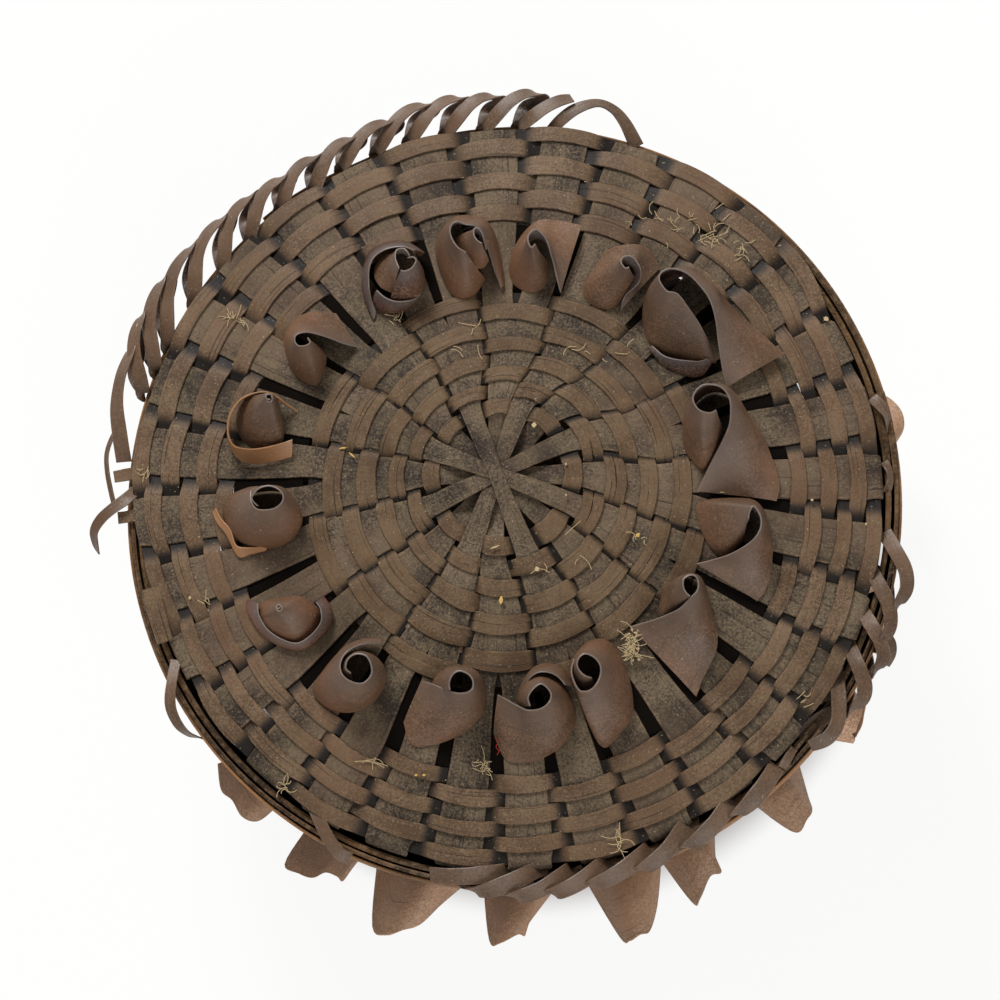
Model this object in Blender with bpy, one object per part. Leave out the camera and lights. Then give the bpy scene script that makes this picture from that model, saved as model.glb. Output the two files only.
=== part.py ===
"""A round lidded basket of plaited ash splint with rolled curls.

Metres, +Z up. The origin is on the basket's axis, in the plane that it stands on.
Every splint is a sheet of quads along its middle surface, thickened by a Solidify modifier.
Neighbouring splints keep the clearance GAP between their faces.
"""

import math
from collections import namedtuple

import bpy
from mathutils import Matrix, Vector

# Splint and clearances
SPLINT = 0.0006
GAP = 0.0003
LIFT = SPLINT + GAP
HOOP = 0.0014
LID_PLAY = 0.0008

# Basket: floor, wall and rim
BODY_HEIGHT = 0.0906
WALL_FLARE = 0.0032
FLOOR_KICK = 0.0040
WALL_BEND = 0.0050
RIM_DEPTH = 0.0080

# Lid: weave, dome and rim
LID_RADIUS = 0.0988
LID_DOME = 0.0090
FLANGE_DEPTH = 0.0100
FLANGE_BEND = 0.0024

# Spokes of the lid and uprights of the basket
LID_STRIPS = 8
BODY_STRIPS = 6
LID_TURN = math.radians(-2.8)
WAIST = 0.0038
WAIST_GROWTH = 0.08
HUB_STACK_RADIUS = 0.0135
HUB_FLAT_RADIUS = 0.0190
LID_FORK = 0.0460
BODY_FORK = 0.0540
FORK_OPENING = 0.0070
SPOKE_GAP = 0.0026
SPOKE_GAP_GROWTH = 0.095
FLANGE_TAB = 0.0050
UPRIGHT_GAP = 0.0090

# Weaver rows
CENTRE_ROWS = 8
CENTRE_ROW_START = 0.0207
CENTRE_ROW_GAP = 0.0008
CENTRE_SHARE = 0.53
OUTER_ROWS = 6
OUTER_ROW_INSET = 0.0029
OUTER_ROW_GAP = 0.0006
OUTER_SHARE = 0.773
FORK_ROWS = 3
BRIM_ROWS = 2
FLOOR_ROW_START = 0.0250
FORK_ROW_INSET = 0.0030
FLOOR_ROW_INSET = 0.0090
FLOOR_ROW_WIDTH = 0.0090
WALL_ROW_WIDTH = 0.0100
WALL_BANDS = 5
TURN_IN = 0.0004

# Curls and the wide splints that carry them
LID_CURL_INSET = 0.0022
WALL_CURL_SPLINT = 0.0150
CURL_REACH = 0.1160
WALL_CURL_BASE = 0.0078
CURL_MOUTH = 0.0032
CURL_TURNS = 1.12
CURL_GROWTH = 0.0014
WALL_CURL_STEPS = 6
NECK_WIDTH = 0.0009
NECK_DEPTH = 0.0040
NECK_RISE = 0.0030
NECK_SINK = 0.0010

# Lid curls. Places are measured across the wide splint, from the middle line of a gap between two
# arms: first towards the hub, then clockwise. hand is 1 where the roll runs counter-clockwise.
LidCurl = namedtuple("LidCurl", "gap neck foot base_at base mouth_at mouth height hand")
ON_SPOKES = 0.0
ON_ROWS = 0.0014
LID_CURLS = (
    LidCurl(0, -0.0060, ON_ROWS, (0.0045, -0.0085), 0.0070, (0.0075, -0.0140), 0.0044, 0.0160, 1),
    LidCurl(2, 0.0020, ON_ROWS, (0.0015, 0.0095), 0.0085, (-0.0030, 0.0030), 0.0038, 0.0168, -1),
    LidCurl(3, 0.0040, ON_SPOKES, (0.0015, 0.0100), 0.0066, (-0.0010, 0.0145), 0.0022, 0.0128, -1),
    LidCurl(3, -0.0060, ON_SPOKES, (0.0015, -0.0095), 0.0058, (-0.0010, -0.0095), 0.0024, 0.0138, 1),
    LidCurl(4, -0.0070, ON_SPOKES, (0.0010, -0.0025), 0.0072, (-0.0040, -0.0010), 0.0036, 0.0142, 1),
    LidCurl(5, -0.0070, ON_SPOKES, (0.0005, 0.0035), 0.0070, (-0.0025, 0.0065), 0.0032, 0.0128, -1),
    LidCurl(6, -0.0070, ON_SPOKES, (-0.0005, -0.0025), 0.0056, (-0.0025, 0.0000), 0.0020, 0.0128, 1),
    LidCurl(7, 0.0030, ON_SPOKES, (-0.0030, 0.0040), 0.0060, (-0.0020, 0.0080), 0.0018, 0.0138, 1),
    LidCurl(8, 0.0070, ON_ROWS, (-0.0020, 0.0040), 0.0086, (0.0010, 0.0065), 0.0040, 0.0128, 1),
    LidCurl(9, 0.0070, ON_ROWS, (-0.0020, 0.0025), 0.0080, (-0.0020, 0.0040), 0.0018, 0.0068, 1),
    LidCurl(10, -0.0070, ON_SPOKES, (0.0010, 0.0035), 0.0075, (0.0025, 0.0030), 0.0040, 0.0128, -1),
    LidCurl(11, -0.0070, ON_ROWS, (0.0040, 0.0025), 0.0092, (0.0090, 0.0000), 0.0033, 0.0148, -1),
    LidCurl(12, -0.0070, ON_ROWS, (0.0035, 0.0015), 0.0088, (0.0075, 0.0000), 0.0033, 0.0148, -1),
    LidCurl(13, -0.0060, ON_ROWS, (0.0025, 0.0080), 0.0078, (0.0090, 0.0078), 0.0040, 0.0148, -1),
    LidCurl(14, -0.0060, ON_ROWS, (0.0030, 0.0025), 0.0072, (0.0095, -0.0060), 0.0026, 0.0168, 1),
    LidCurl(15, -0.0060, ON_ROWS, (0.0045, -0.0050), 0.0074, (0.0000, -0.0070), 0.0022, 0.0118, -1),
)
LID_CURL_STEPS = 7
LID_ROLL_TURNS = 1.06
LID_ROLL_GROWTH = 0.0013
LID_FLAP_HEIGHT = 0.0026

# Lashings: turns of narrow splint round the hoops
LASH_WIDTH = 0.0037
LASH_EASE = 0.0004
LOOP_BULGE = 0.0035
BIG_LOOP_BULGE = 0.0085
LAST_LOOP_BULGE = 0.0051
FLAT_BULGE = 0.0006
BELLY_SHARE = 0.55
BELLY_HEIGHT = 0.0025
BACK_LASH_START = math.radians(173.0)
BACK_BULGES = (LOOP_BULGE,) * 15 + (LAST_LOOP_BULGE,) * 2
FRONT_LASH_START = math.radians(-5.0)
FRONT_BULGES = (BIG_LOOP_BULGE,) * 6 + (FLAT_BULGE,) * 11

DARK = (0.055, 0.036, 0.024)
BROWN = (0.075, 0.042, 0.028)
RED_BROWN = (0.095, 0.045, 0.030)
TAN = (0.160, 0.100, 0.055)


def clear_scene():
    for old in list(bpy.data.objects):
        bpy.data.objects.remove(old)


def wood(name, colour):
    material = bpy.data.materials.new(name)
    material.use_nodes = True
    shader = material.node_tree.nodes["Principled BSDF"]
    shader.inputs["Base Color"].default_value = (*colour, 1.0)
    shader.inputs["Roughness"].default_value = 0.6
    shader.inputs["Metallic"].default_value = 0.0
    return material


def knots(table, x):
    """Straight-line interpolation through (x, y) pairs."""
    for (x0, y0), (x1, y1) in zip(table, table[1:]):
        if x <= x1:
            return y0 + (y1 - y0) * (x - x0) / (x1 - x0)
    return table[-1][1]


def sheet(name, points, faces, material, thickness=SPLINT):
    """A splint: its middle surface, thickened to both sides."""
    mesh = bpy.data.meshes.new(name)
    mesh.from_pydata([tuple(p) for p in points], [], faces)
    mesh.materials.append(material)
    item = bpy.data.objects.new(name, mesh)
    bpy.context.scene.collection.objects.link(item)
    solid = item.modifiers.new("Thickness", "SOLIDIFY")
    solid.thickness = thickness
    solid.offset = 0.0
    solid.use_even_offset = True
    return item


def ribbon_faces(count, closed, start=0):
    """Quads between the pairs (left, right) of points along a ribbon."""
    faces = []
    for i in range(count if closed else count - 1):
        a = start + 2 * i
        b = start + 2 * ((i + 1) % count)
        faces.append((a, b, b + 1, a + 1))
    return faces


def polar(radius, angle, height):
    return Vector((radius * math.cos(angle), radius * math.sin(angle), height))


# The lid's spoke surface, and the floor and wall of the basket

HOOP_OFFSET = SPLINT / 2 + GAP + HOOP / 2
LASH_OFFSET = HOOP_OFFSET + HOOP / 2 + GAP + SPLINT / 2
RIM_TOP = BODY_HEIGHT + GAP + SPLINT
LID_EDGE = RIM_TOP + GAP + LIFT + SPLINT / 2
LID_WALL = LID_RADIUS + FLANGE_BEND
LID_HOOP_TOP = LID_EDGE - FLANGE_BEND - GAP
LID_HOOP_LOW = LID_EDGE - FLANGE_DEPTH
RIM_RADIUS = LID_WALL - 2 * LASH_OFFSET - SPLINT - LID_PLAY - LASH_EASE
FLOOR_RADIUS = RIM_RADIUS - WALL_FLARE - WALL_BEND
FORK_ROW_RADIUS = BODY_FORK - FORK_ROW_INSET
FORK_ROW_PITCH = (FORK_ROW_RADIUS - FLOOR_ROW_START) / (FORK_ROWS - 1)
BRIM_ROW_PITCH = (FLOOR_RADIUS - FLOOR_ROW_INSET - FORK_ROW_RADIUS) / BRIM_ROWS
FLOOR_ROW_RADII = [FLOOR_ROW_START + i * FORK_ROW_PITCH for i in range(FORK_ROWS)]
FLOOR_ROW_RADII += [FORK_ROW_RADIUS + (i + 1) * BRIM_ROW_PITCH for i in range(BRIM_ROWS)]
STAND = LIFT + SPLINT / 2
OUTER_ROW_END = LID_RADIUS - OUTER_ROW_INSET
CENTRE_ROW_END = CENTRE_SHARE * LID_RADIUS
CENTRE_ROW_PITCH = (CENTRE_ROW_END - CENTRE_ROW_START) / (CENTRE_ROWS - 1)
CENTRE_ROW_WIDTH = CENTRE_ROW_PITCH - CENTRE_ROW_GAP
OUTER_ROW_START = OUTER_SHARE * LID_RADIUS
OUTER_ROW_PITCH = (OUTER_ROW_END - OUTER_ROW_START) / (OUTER_ROWS - 1)
OUTER_ROW_WIDTH = OUTER_ROW_PITCH - OUTER_ROW_GAP
LID_CURL_RADIUS = (CENTRE_ROW_END + OUTER_ROW_START) / 2
LID_CURL_SPLINT = (
    OUTER_ROW_START - CENTRE_ROW_END - (OUTER_ROW_WIDTH + CENTRE_ROW_WIDTH) / 2 - 2 * LID_CURL_INSET
)
LID_BRIM = OUTER_ROW_END - OUTER_ROW_PITCH
LID_PROFILE = (
    (0.0, LID_DOME),
    (HUB_FLAT_RADIUS, 0.94 * LID_DOME),
    (LID_FORK + FORK_OPENING, 0.70 * LID_DOME),
    (LID_BRIM, 0.05 * LID_DOME),
    (LID_RADIUS, 0.0),
)
FLOOR_FLAT = FLOOR_ROW_RADII[FORK_ROWS] - FLOOR_ROW_WIDTH / 2 - SPLINT
FLOOR_PROFILE = (
    (0.0, FLOOR_KICK),
    (HUB_FLAT_RADIUS, FLOOR_KICK),
    (FLOOR_FLAT, 0.0),
    (FLOOR_RADIUS, 0.0),
)


def lid_height(radius):
    return LID_EDGE + knots(LID_PROFILE, radius)


def floor_height(radius):
    return STAND + knots(FLOOR_PROFILE, radius)


def band_height(index):
    """The middle of one of the bands that share the wall between its bend and its rim."""
    low = STAND + WALL_BEND
    high = BODY_HEIGHT - RIM_DEPTH - GAP - SPLINT
    return low + (index + 0.5) * (high - low) / WALL_BANDS


def wall_radius(height):
    start = STAND + WALL_BEND
    share = (height - start) / (BODY_HEIGHT - start)
    return FLOOR_RADIUS + WALL_BEND + (RIM_RADIUS - FLOOR_RADIUS - WALL_BEND) * share


def spoke_gap(radius, fork):
    """The open space between two neighbouring spokes."""
    return SPOKE_GAP + SPOKE_GAP_GROWTH * max(0.0, radius - fork - FORK_OPENING)


def arm_half_width(radius, arms, fork):
    """Half the width of an arm, or of both its halves together past the fork."""
    waist = (WAIST + WAIST_GROWTH * radius) / 2
    full = math.pi * radius / arms - spoke_gap(radius, fork) / 2
    return waist if radius < HUB_FLAT_RADIUS else max(waist, full)


# Strips that cross at the centre, fork and turn down or up


def forked_strip(name, index, strips, turn, fork, height, ends, material):
    """One strip with both its forked ends.

    height(radius) is the strip's surface, and ends lists (radius, height, half width) past the fork,
    measured about each half's own middle line.
    """
    arms = 2 * strips
    heading = turn + math.pi * index / strips
    level = (index - (strips - 1) / 2) * LIFT
    points = []
    faces = []
    middle = [(0.0, level), (HUB_STACK_RADIUS, level), (HUB_FLAT_RADIUS, 0.0)]
    stations = [(-r, lift) for r, lift in reversed(middle[1:])] + middle
    for along, lift in stations:
        side = heading if along >= 0 else heading + math.pi
        reach = abs(along)
        half = arm_half_width(reach, arms, fork)
        sign = 1 if along >= 0 else -1
        centre = polar(reach, side, height(reach) + lift)
        across = Vector((-math.sin(side), math.cos(side), 0.0)) * half * sign
        points += [centre - across, centre + across]
    faces += ribbon_faces(len(stations), False)
    for sign in (-1, 1):
        side = heading if sign > 0 else heading + math.pi
        hub = len(stations) * 2 - 2 if sign > 0 else 0
        hub_pair = (hub, hub + 1) if sign > 0 else (hub + 1, hub)
        crotch = len(points)
        reach = fork
        half = arm_half_width(reach, arms, fork) / reach
        for offset in (-half, 0.0, half):
            points.append(polar(reach, side + offset, height(reach)))
        faces.append((hub_pair[0], crotch, crotch + 1, crotch + 2, hub_pair[1]))
        for tine in (-1, 1):
            middle_line = side + tine * math.pi / (2 * arms)
            first = (crotch, crotch + 1) if tine < 0 else (crotch + 1, crotch + 2)
            row = len(points)
            for radius, level_there, half_width in ends:
                step = half_width / radius
                points.append(polar(radius, middle_line - step, level_there))
                points.append(polar(radius, middle_line + step, level_there))
            faces.append((first[0], row, row + 1, first[1]))
            faces += ribbon_faces(len(ends), False, row)
    return sheet(name, points, faces, material)


def tine_half_width(radius, arms, fork):
    return (math.pi * radius / arms - spoke_gap(radius, fork)) / 2


def lid_strips(material):
    arms = 2 * LID_STRIPS
    open_radius = LID_FORK + FORK_OPENING
    narrow = OUTER_ROW_END + OUTER_ROW_WIDTH / 2
    flats = [open_radius, LID_BRIM, narrow - FLANGE_BEND / 2]
    ends = [(r, lid_height(r), tine_half_width(r, arms, LID_FORK)) for r in flats]
    ends += [
        (narrow, lid_height(narrow), FLANGE_TAB / 2),
        (LID_RADIUS, LID_EDGE, FLANGE_TAB / 2),
        (LID_WALL, LID_EDGE - FLANGE_BEND, FLANGE_TAB / 2),
        (LID_WALL, LID_EDGE - FLANGE_DEPTH, FLANGE_TAB / 2),
    ]
    for i in range(LID_STRIPS):
        forked_strip(f"lid_spoke_{i + 1}", i, LID_STRIPS, LID_TURN, LID_FORK, lid_height, ends, material)


def upright_half_angle():
    return (math.pi * FLOOR_RADIUS / (2 * BODY_STRIPS) - UPRIGHT_GAP) / 2 / FLOOR_RADIUS


def body_strips(material):
    arms = 2 * BODY_STRIPS
    open_radius = BODY_FORK + FORK_OPENING
    foot = STAND + WALL_BEND
    flat_half = tine_half_width(open_radius, arms, BODY_FORK)
    half = upright_half_angle()
    ends = [
        (open_radius, floor_height(open_radius), flat_half),
        (FLOOR_RADIUS, STAND, half * FLOOR_RADIUS),
        (wall_radius(foot), foot, half * wall_radius(foot)),
        (RIM_RADIUS, BODY_HEIGHT, half * RIM_RADIUS),
    ]
    for i in range(BODY_STRIPS):
        forked_strip(f"upright_{i + 1}", i, BODY_STRIPS, 0.0, BODY_FORK, floor_height, ends, material)


# Weaver rows, over one and under one


def woven_row(name, crossings, turn, half_angle, place, phase, material):
    """A closed row. place(angle, side) gives its two edge points on that side of the spokes."""
    points = []
    for i in range(crossings):
        middle = turn + 2 * math.pi * i / crossings
        side = 1 if (i + phase) % 2 == 0 else -1
        for angle in (middle - half_angle, middle + half_angle):
            points += place(angle, side)
    return sheet(name, points, ribbon_faces(2 * crossings, True), material)


def disc_row(name, radius, width, crossings, turn, half_angle, height, phase, material):
    def place(angle, side):
        inner = radius - width / 2
        outer = radius + width / 2
        return [
            polar(inner, angle, height(inner) + side * LIFT),
            polar(outer, angle, height(outer) + side * LIFT),
        ]

    return woven_row(name, crossings, turn, half_angle, place, phase, material)


def lid_rows(material):
    arms = 2 * LID_STRIPS
    for i in range(CENTRE_ROWS):
        radius = CENTRE_ROW_START + i * CENTRE_ROW_PITCH
        half = (arm_half_width(radius, arms, LID_FORK) + TURN_IN) / radius
        name = f"lid_centre_row_{i + 1}"
        disc_row(name, radius, CENTRE_ROW_WIDTH, arms, LID_TURN, half, lid_height, i, material)
    for i in range(OUTER_ROWS):
        radius = OUTER_ROW_START + i * OUTER_ROW_PITCH
        half = (tine_half_width(radius, arms, LID_FORK) + TURN_IN) / radius
        turn = LID_TURN + math.pi / (2 * arms)
        name = f"lid_outer_row_{i + 1}"
        disc_row(name, radius, OUTER_ROW_WIDTH, 2 * arms, turn, half, lid_height, i, material)


def floor_rows(material):
    arms = 2 * BODY_STRIPS
    for i, radius in enumerate(FLOOR_ROW_RADII):
        outside = radius - FLOOR_ROW_WIDTH / 2 > BODY_FORK
        if outside:
            half = (tine_half_width(radius, arms, BODY_FORK) + TURN_IN) / radius
            crossings = 2 * arms
            turn = math.pi / (2 * arms)
        else:
            half = (arm_half_width(radius, arms, BODY_FORK) + TURN_IN) / radius
            crossings = arms
            turn = 0.0
        name = f"floor_row_{i + 1}"
        disc_row(name, radius, FLOOR_ROW_WIDTH, crossings, turn, half, floor_height, i, material)


def wall_rows(material):
    arms = 2 * BODY_STRIPS
    half = upright_half_angle() + TURN_IN / FLOOR_RADIUS
    for i in range((WALL_BANDS + 1) // 2):

        def place(angle, side, middle=band_height(2 * i)):
            low = middle - WALL_ROW_WIDTH / 2
            high = middle + WALL_ROW_WIDTH / 2
            return [
                polar(wall_radius(high) + side * LIFT, angle, high),
                polar(wall_radius(low) + side * LIFT, angle, low),
            ]

        woven_row(f"wall_row_{i + 1}", 2 * arms, math.pi / (2 * arms), half, place, i, material)


# Curls: cones rolled from the wide splint, each on its neck


def curl_frame(origin, outward, along):
    """Axes of a curl: z out of the weave, x along the splint's width."""
    z = outward.normalized()
    x = (along - along.dot(z) * z).normalized()
    y = z.cross(x)
    frame = Matrix((x, y, z)).transposed().to_4x4()
    frame.translation = origin
    return frame


def lid_roll(frame, curl):
    """The edges of a lid curl: a flap from its neck, then the roll, tighter towards its inner end."""
    base_at = Vector(curl.base_at)
    mouth_at = Vector(curl.mouth_at)
    away = Vector((curl.neck, 0.0)) - base_at
    tangent = math.acos((curl.base + LID_ROLL_GROWTH / 2) / away.length)
    start = math.atan2(away.y, away.x) + curl.hand * tangent
    points = [
        frame @ Vector((curl.neck, 0.0, curl.foot)),
        frame @ Vector((curl.neck, 0.0, LID_FLAP_HEIGHT)),
    ]
    for i in range(LID_CURL_STEPS + 1):
        share = i / LID_CURL_STEPS
        angle = start + curl.hand * 2 * math.pi * LID_ROLL_TURNS * share
        direction = Vector((math.cos(angle), math.sin(angle)))
        spread = LID_ROLL_GROWTH * (0.5 - share)
        low = base_at + (curl.base + spread) * direction
        high = mouth_at + (curl.mouth + spread) * direction
        points.append(frame @ Vector((low.x, low.y, curl.foot)))
        points.append(frame @ Vector((high.x, high.y, curl.height)))
    return points


def wall_roll(frame, length):
    """The edges of a wall curl, a cone narrowing outwards."""
    points = []
    for i in range(WALL_CURL_STEPS + 1):
        share = i / WALL_CURL_STEPS
        angle = 2 * math.pi * CURL_TURNS * (share - 0.5) + math.pi
        spread = CURL_GROWTH * CURL_TURNS * (share - 0.5)
        for radius, height in ((WALL_CURL_BASE + spread, 0.0), (CURL_MOUTH + spread, length)):
            points.append(frame @ Vector((radius * math.cos(angle), radius * math.sin(angle), height)))
    return points


def neck(frame, near, far, depth):
    """An upright fin where a curl leaves the wide splint, between two spokes."""
    corners = ((near, -depth), (near, NECK_RISE), (far, NECK_RISE), (far, -depth))
    return [frame @ Vector((x, 0.0, z)) for x, z in corners]


def curled_splint(name, band_points, curls, necks, material):
    """A wide closed splint with its curls, joined into one solid.

    curls has the edge points of each curl, and necks the corners of each neck.
    """
    band = sheet(name, band_points, ribbon_faces(len(band_points) // 2, True), material)
    curl_points = []
    curl_faces = []
    for points in curls:
        curl_faces += ribbon_faces(len(points) // 2, False, len(curl_points))
        curl_points += points
    neck_points = [corner for corners in necks for corner in corners]
    neck_faces = [tuple(range(4 * i, 4 * i + 4)) for i in range(len(necks))]
    neck_tool = sheet(name + "_neck_cutter", neck_points, neck_faces, material, NECK_WIDTH)
    curl_tool = sheet(name + "_curl_cutter", curl_points, curl_faces, material)
    for tool in (neck_tool, curl_tool):
        tool.hide_render = True
        tool.display_type = "WIRE"
        union = band.modifiers.new(tool.name, "BOOLEAN")
        union.operation = "UNION"
        union.object = tool
    return band


def lid_curls(material):
    count = 2 * LID_STRIPS
    seat = SPLINT / 2 + GAP
    inner = LID_CURL_RADIUS - LID_CURL_SPLINT / 2
    outer = LID_CURL_RADIUS + LID_CURL_SPLINT / 2
    fall = (lid_height(inner) - lid_height(outer)) / LID_CURL_SPLINT
    curls = []
    necks = []
    for curl in LID_CURLS:
        angle = LID_TURN + math.pi / count + 2 * math.pi * curl.gap / count
        outward = polar(fall, angle, 1.0).normalized()
        origin = polar(LID_CURL_RADIUS, angle, lid_height(LID_CURL_RADIUS)) + seat * outward
        frame = curl_frame(origin, outward, -polar(1.0, angle, 0.0))
        side = math.copysign(1.0, curl.neck)
        curls.append(lid_roll(frame, curl))
        necks.append(neck(frame, curl.neck + side * SPLINT, curl.neck - side * NECK_DEPTH, seat + LIFT))
    steps = 2 * count
    band = []
    for i in range(steps):
        angle = LID_TURN + 2 * math.pi * i / steps
        band.append(polar(inner, angle, lid_height(inner) - LIFT))
        band.append(polar(outer, angle, lid_height(outer) - LIFT))
    curled_splint("lid_curl_band", band, curls, necks, material)


def wall_curls(material):
    count = 2 * BODY_STRIPS
    steps = 2 * count
    seat = SPLINT / 2 + GAP
    near = -WALL_CURL_BASE - SPLINT
    far = -WALL_CURL_BASE + NECK_DEPTH
    for k in range(WALL_BANDS // 2):
        middle = band_height(2 * k + 1)
        low = middle - WALL_CURL_SPLINT / 2
        high = middle + WALL_CURL_SPLINT / 2
        band = []
        for i in range(steps):
            angle = 2 * math.pi * i / steps
            band.append(polar(wall_radius(high) - LIFT, angle, high))
            band.append(polar(wall_radius(low) - LIFT, angle, low))
        length = CURL_REACH - SPLINT / 2 - wall_radius(high) - seat
        curls = []
        necks = []
        for i in range(count):
            angle = 2 * math.pi * (i + k / 2) / count
            outward = polar(1.0, angle, 0.0)
            origin = polar(wall_radius(high) + seat, angle, middle)
            frame = curl_frame(origin, outward, Vector((0.0, 0.0, -1.0)))
            curls.append(wall_roll(frame, length))
            necks.append(neck(frame, near, far, seat + LIFT + NECK_SINK))
        curled_splint(("lower", "upper")[k] + "_curl_band", band, curls, necks, material)


# Hoops and lashings of the two rims


def hoop(name, angles, radius_at, low, high, material):
    points = []
    for angle in angles:
        points.append(polar(radius_at(high), angle, high))
        points.append(polar(radius_at(low), angle, low))
    return sheet(name, points, ribbon_faces(len(angles), True), material, HOOP)


def lashing(name, first, pitch, turns, closed, material):
    """A narrow splint wound round the hoops.

    Each turn is a list of (radius, height, share of the pitch gone by).
    """
    points = []
    for i, turn in enumerate(turns):
        for radius, height, share in turn:
            angle = first - (i + share) * pitch
            half = LASH_WIDTH / 2 / radius
            points.append(polar(radius, angle + half, height))
            points.append(polar(radius, angle - half, height))
    return sheet(name, points, ribbon_faces(len(points) // 2, closed), material)


def lid_turn(bulge):
    """One turn on the lid, standing out by bulge past the outer hoop."""
    inner = LID_WALL - LASH_OFFSET
    outer = LID_WALL + LASH_OFFSET + GAP
    low = LID_HOOP_LOW - GAP - SPLINT / 2
    high = LID_HOOP_TOP + GAP + SPLINT / 2
    belly = LID_HOOP_LOW + BELLY_SHARE * (LID_HOOP_TOP - LID_HOOP_LOW)
    return [
        (inner, high, 0.0),
        (inner, low, 0.0),
        (outer, low, 0.3),
        (outer + bulge, belly - BELLY_HEIGHT / 2, 0.5),
        (outer + bulge, belly + BELLY_HEIGHT / 2, 0.75),
        (outer, high, 1.0),
    ]


def lid_rim(hoop_material, lash_material):
    spokes = 4 * LID_STRIPS
    pitch = 2 * math.pi / spokes
    angles = [LID_TURN + i * pitch for i in range(spokes)]
    for name, side in (("lid_inner_hoop", -1), ("lid_outer_hoop", 1)):
        radius = (LID_WALL + side * HOOP_OFFSET) / math.cos(pitch / 2)
        hoop(name, angles, lambda height, radius=radius: radius, LID_HOOP_LOW, LID_HOOP_TOP, hoop_material)
    half_pitch = pitch / 2
    for name, start, bulges in (
        ("lid_lashing_back", BACK_LASH_START, BACK_BULGES),
        ("lid_lashing_front", FRONT_LASH_START, FRONT_BULGES),
    ):
        first = LID_TURN + (round((start - LID_TURN) / half_pitch) + 0.5) * half_pitch
        lashing(name, first, half_pitch, [lid_turn(bulge) for bulge in bulges], False, lash_material)


def body_rim(hoop_material, lash_material):
    uprights = 4 * BODY_STRIPS
    pitch = 2 * math.pi / uprights
    half = upright_half_angle()
    angles = []
    for i in range(uprights):
        angles += [(i + 0.5) * pitch - half, (i + 0.5) * pitch + half]
    low = BODY_HEIGHT - RIM_DEPTH
    for name, side in (("rim_inner_hoop", -1), ("rim_outer_hoop", 1)):
        shift = side * HOOP_OFFSET
        hoop(name, angles, lambda height, shift=shift: wall_radius(height) + shift, low, BODY_HEIGHT, hoop_material)
    reach = LASH_OFFSET + LASH_EASE
    under = low - GAP - SPLINT / 2
    over = BODY_HEIGHT + GAP + SPLINT / 2
    turn = [
        (wall_radius(under) + reach, under, 0.0),
        (wall_radius(under) - reach, under, 0.0),
        (wall_radius(under) - reach, over, 0.5),
        (RIM_RADIUS + reach, over, 0.5),
    ]
    lashing("rim_lashing", 0.0, pitch, [turn] * uprights, True, lash_material)


def main():
    clear_scene()
    spoke = wood("dark_splint", DARK)
    weaver = wood("brown_splint", BROWN)
    curl = wood("curl_splint", RED_BROWN)
    hoops = wood("hoop_splint", TAN)
    body_strips(spoke)
    floor_rows(weaver)
    wall_rows(weaver)
    wall_curls(curl)
    body_rim(hoops, weaver)
    lid_strips(spoke)
    lid_rows(weaver)
    lid_curls(curl)
    lid_rim(hoops, weaver)


main()
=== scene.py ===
"""The finish of the splint basket: every splint as a worn, slightly uneven ribbon of brown ash.

Metres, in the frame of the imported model. Angles are counter-clockwise from +X, seen from above.
"""

import math

import bpy
import numpy as np
from mathutils import Matrix, Vector, noise


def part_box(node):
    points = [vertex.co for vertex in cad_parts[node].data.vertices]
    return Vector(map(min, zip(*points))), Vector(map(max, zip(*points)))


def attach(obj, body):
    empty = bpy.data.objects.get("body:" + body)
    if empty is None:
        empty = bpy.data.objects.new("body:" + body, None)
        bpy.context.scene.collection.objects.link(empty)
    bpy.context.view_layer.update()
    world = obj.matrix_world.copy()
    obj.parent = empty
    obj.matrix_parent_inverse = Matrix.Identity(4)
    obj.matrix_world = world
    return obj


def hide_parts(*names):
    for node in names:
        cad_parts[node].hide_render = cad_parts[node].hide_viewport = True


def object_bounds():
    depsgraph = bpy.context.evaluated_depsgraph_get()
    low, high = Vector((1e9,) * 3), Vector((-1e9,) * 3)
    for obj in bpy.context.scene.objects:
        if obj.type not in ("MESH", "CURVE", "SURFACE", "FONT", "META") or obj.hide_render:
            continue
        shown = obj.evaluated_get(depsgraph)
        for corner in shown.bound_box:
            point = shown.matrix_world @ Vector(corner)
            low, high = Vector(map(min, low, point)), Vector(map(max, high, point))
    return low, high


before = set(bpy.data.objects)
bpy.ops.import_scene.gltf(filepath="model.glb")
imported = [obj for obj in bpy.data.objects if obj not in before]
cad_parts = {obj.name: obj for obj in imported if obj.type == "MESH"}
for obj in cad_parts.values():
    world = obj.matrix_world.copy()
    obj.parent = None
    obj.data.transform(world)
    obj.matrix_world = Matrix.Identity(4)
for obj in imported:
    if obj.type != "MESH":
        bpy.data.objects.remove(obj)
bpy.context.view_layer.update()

MM = 0.001

# Camera: almost straight above, leaning towards -Y and a little to +X
CAMERA_DISTANCE = 1.05
CAMERA_ELEVATION = math.radians(79.0)
CAMERA_AZIMUTH = math.radians(22.0)
IMAGE_SIZE = 1000
VIEW_WIDTH = 0.2655
CAMERA_AIM = Vector((-2.7 * MM, -0.8 * MM, 97.0 * MM))
SENSOR = 36.0

# Splints
SPOKE_THICK = 0.50 * MM
WEAVER_THICK = 0.46 * MM
CURL_THICK = 0.42 * MM
# How far a woven row's middle lies above or below that of the strips it crosses
LIFT = 0.72 * MM
# Places across a splint, from edge to edge, as shares of its half width
ACROSS = (-1.0, -0.5, 0.0, 0.5, 1.0)
ROW_ACROSS = (-1.0, -0.6, 0.0, 0.6, 1.0)

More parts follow.
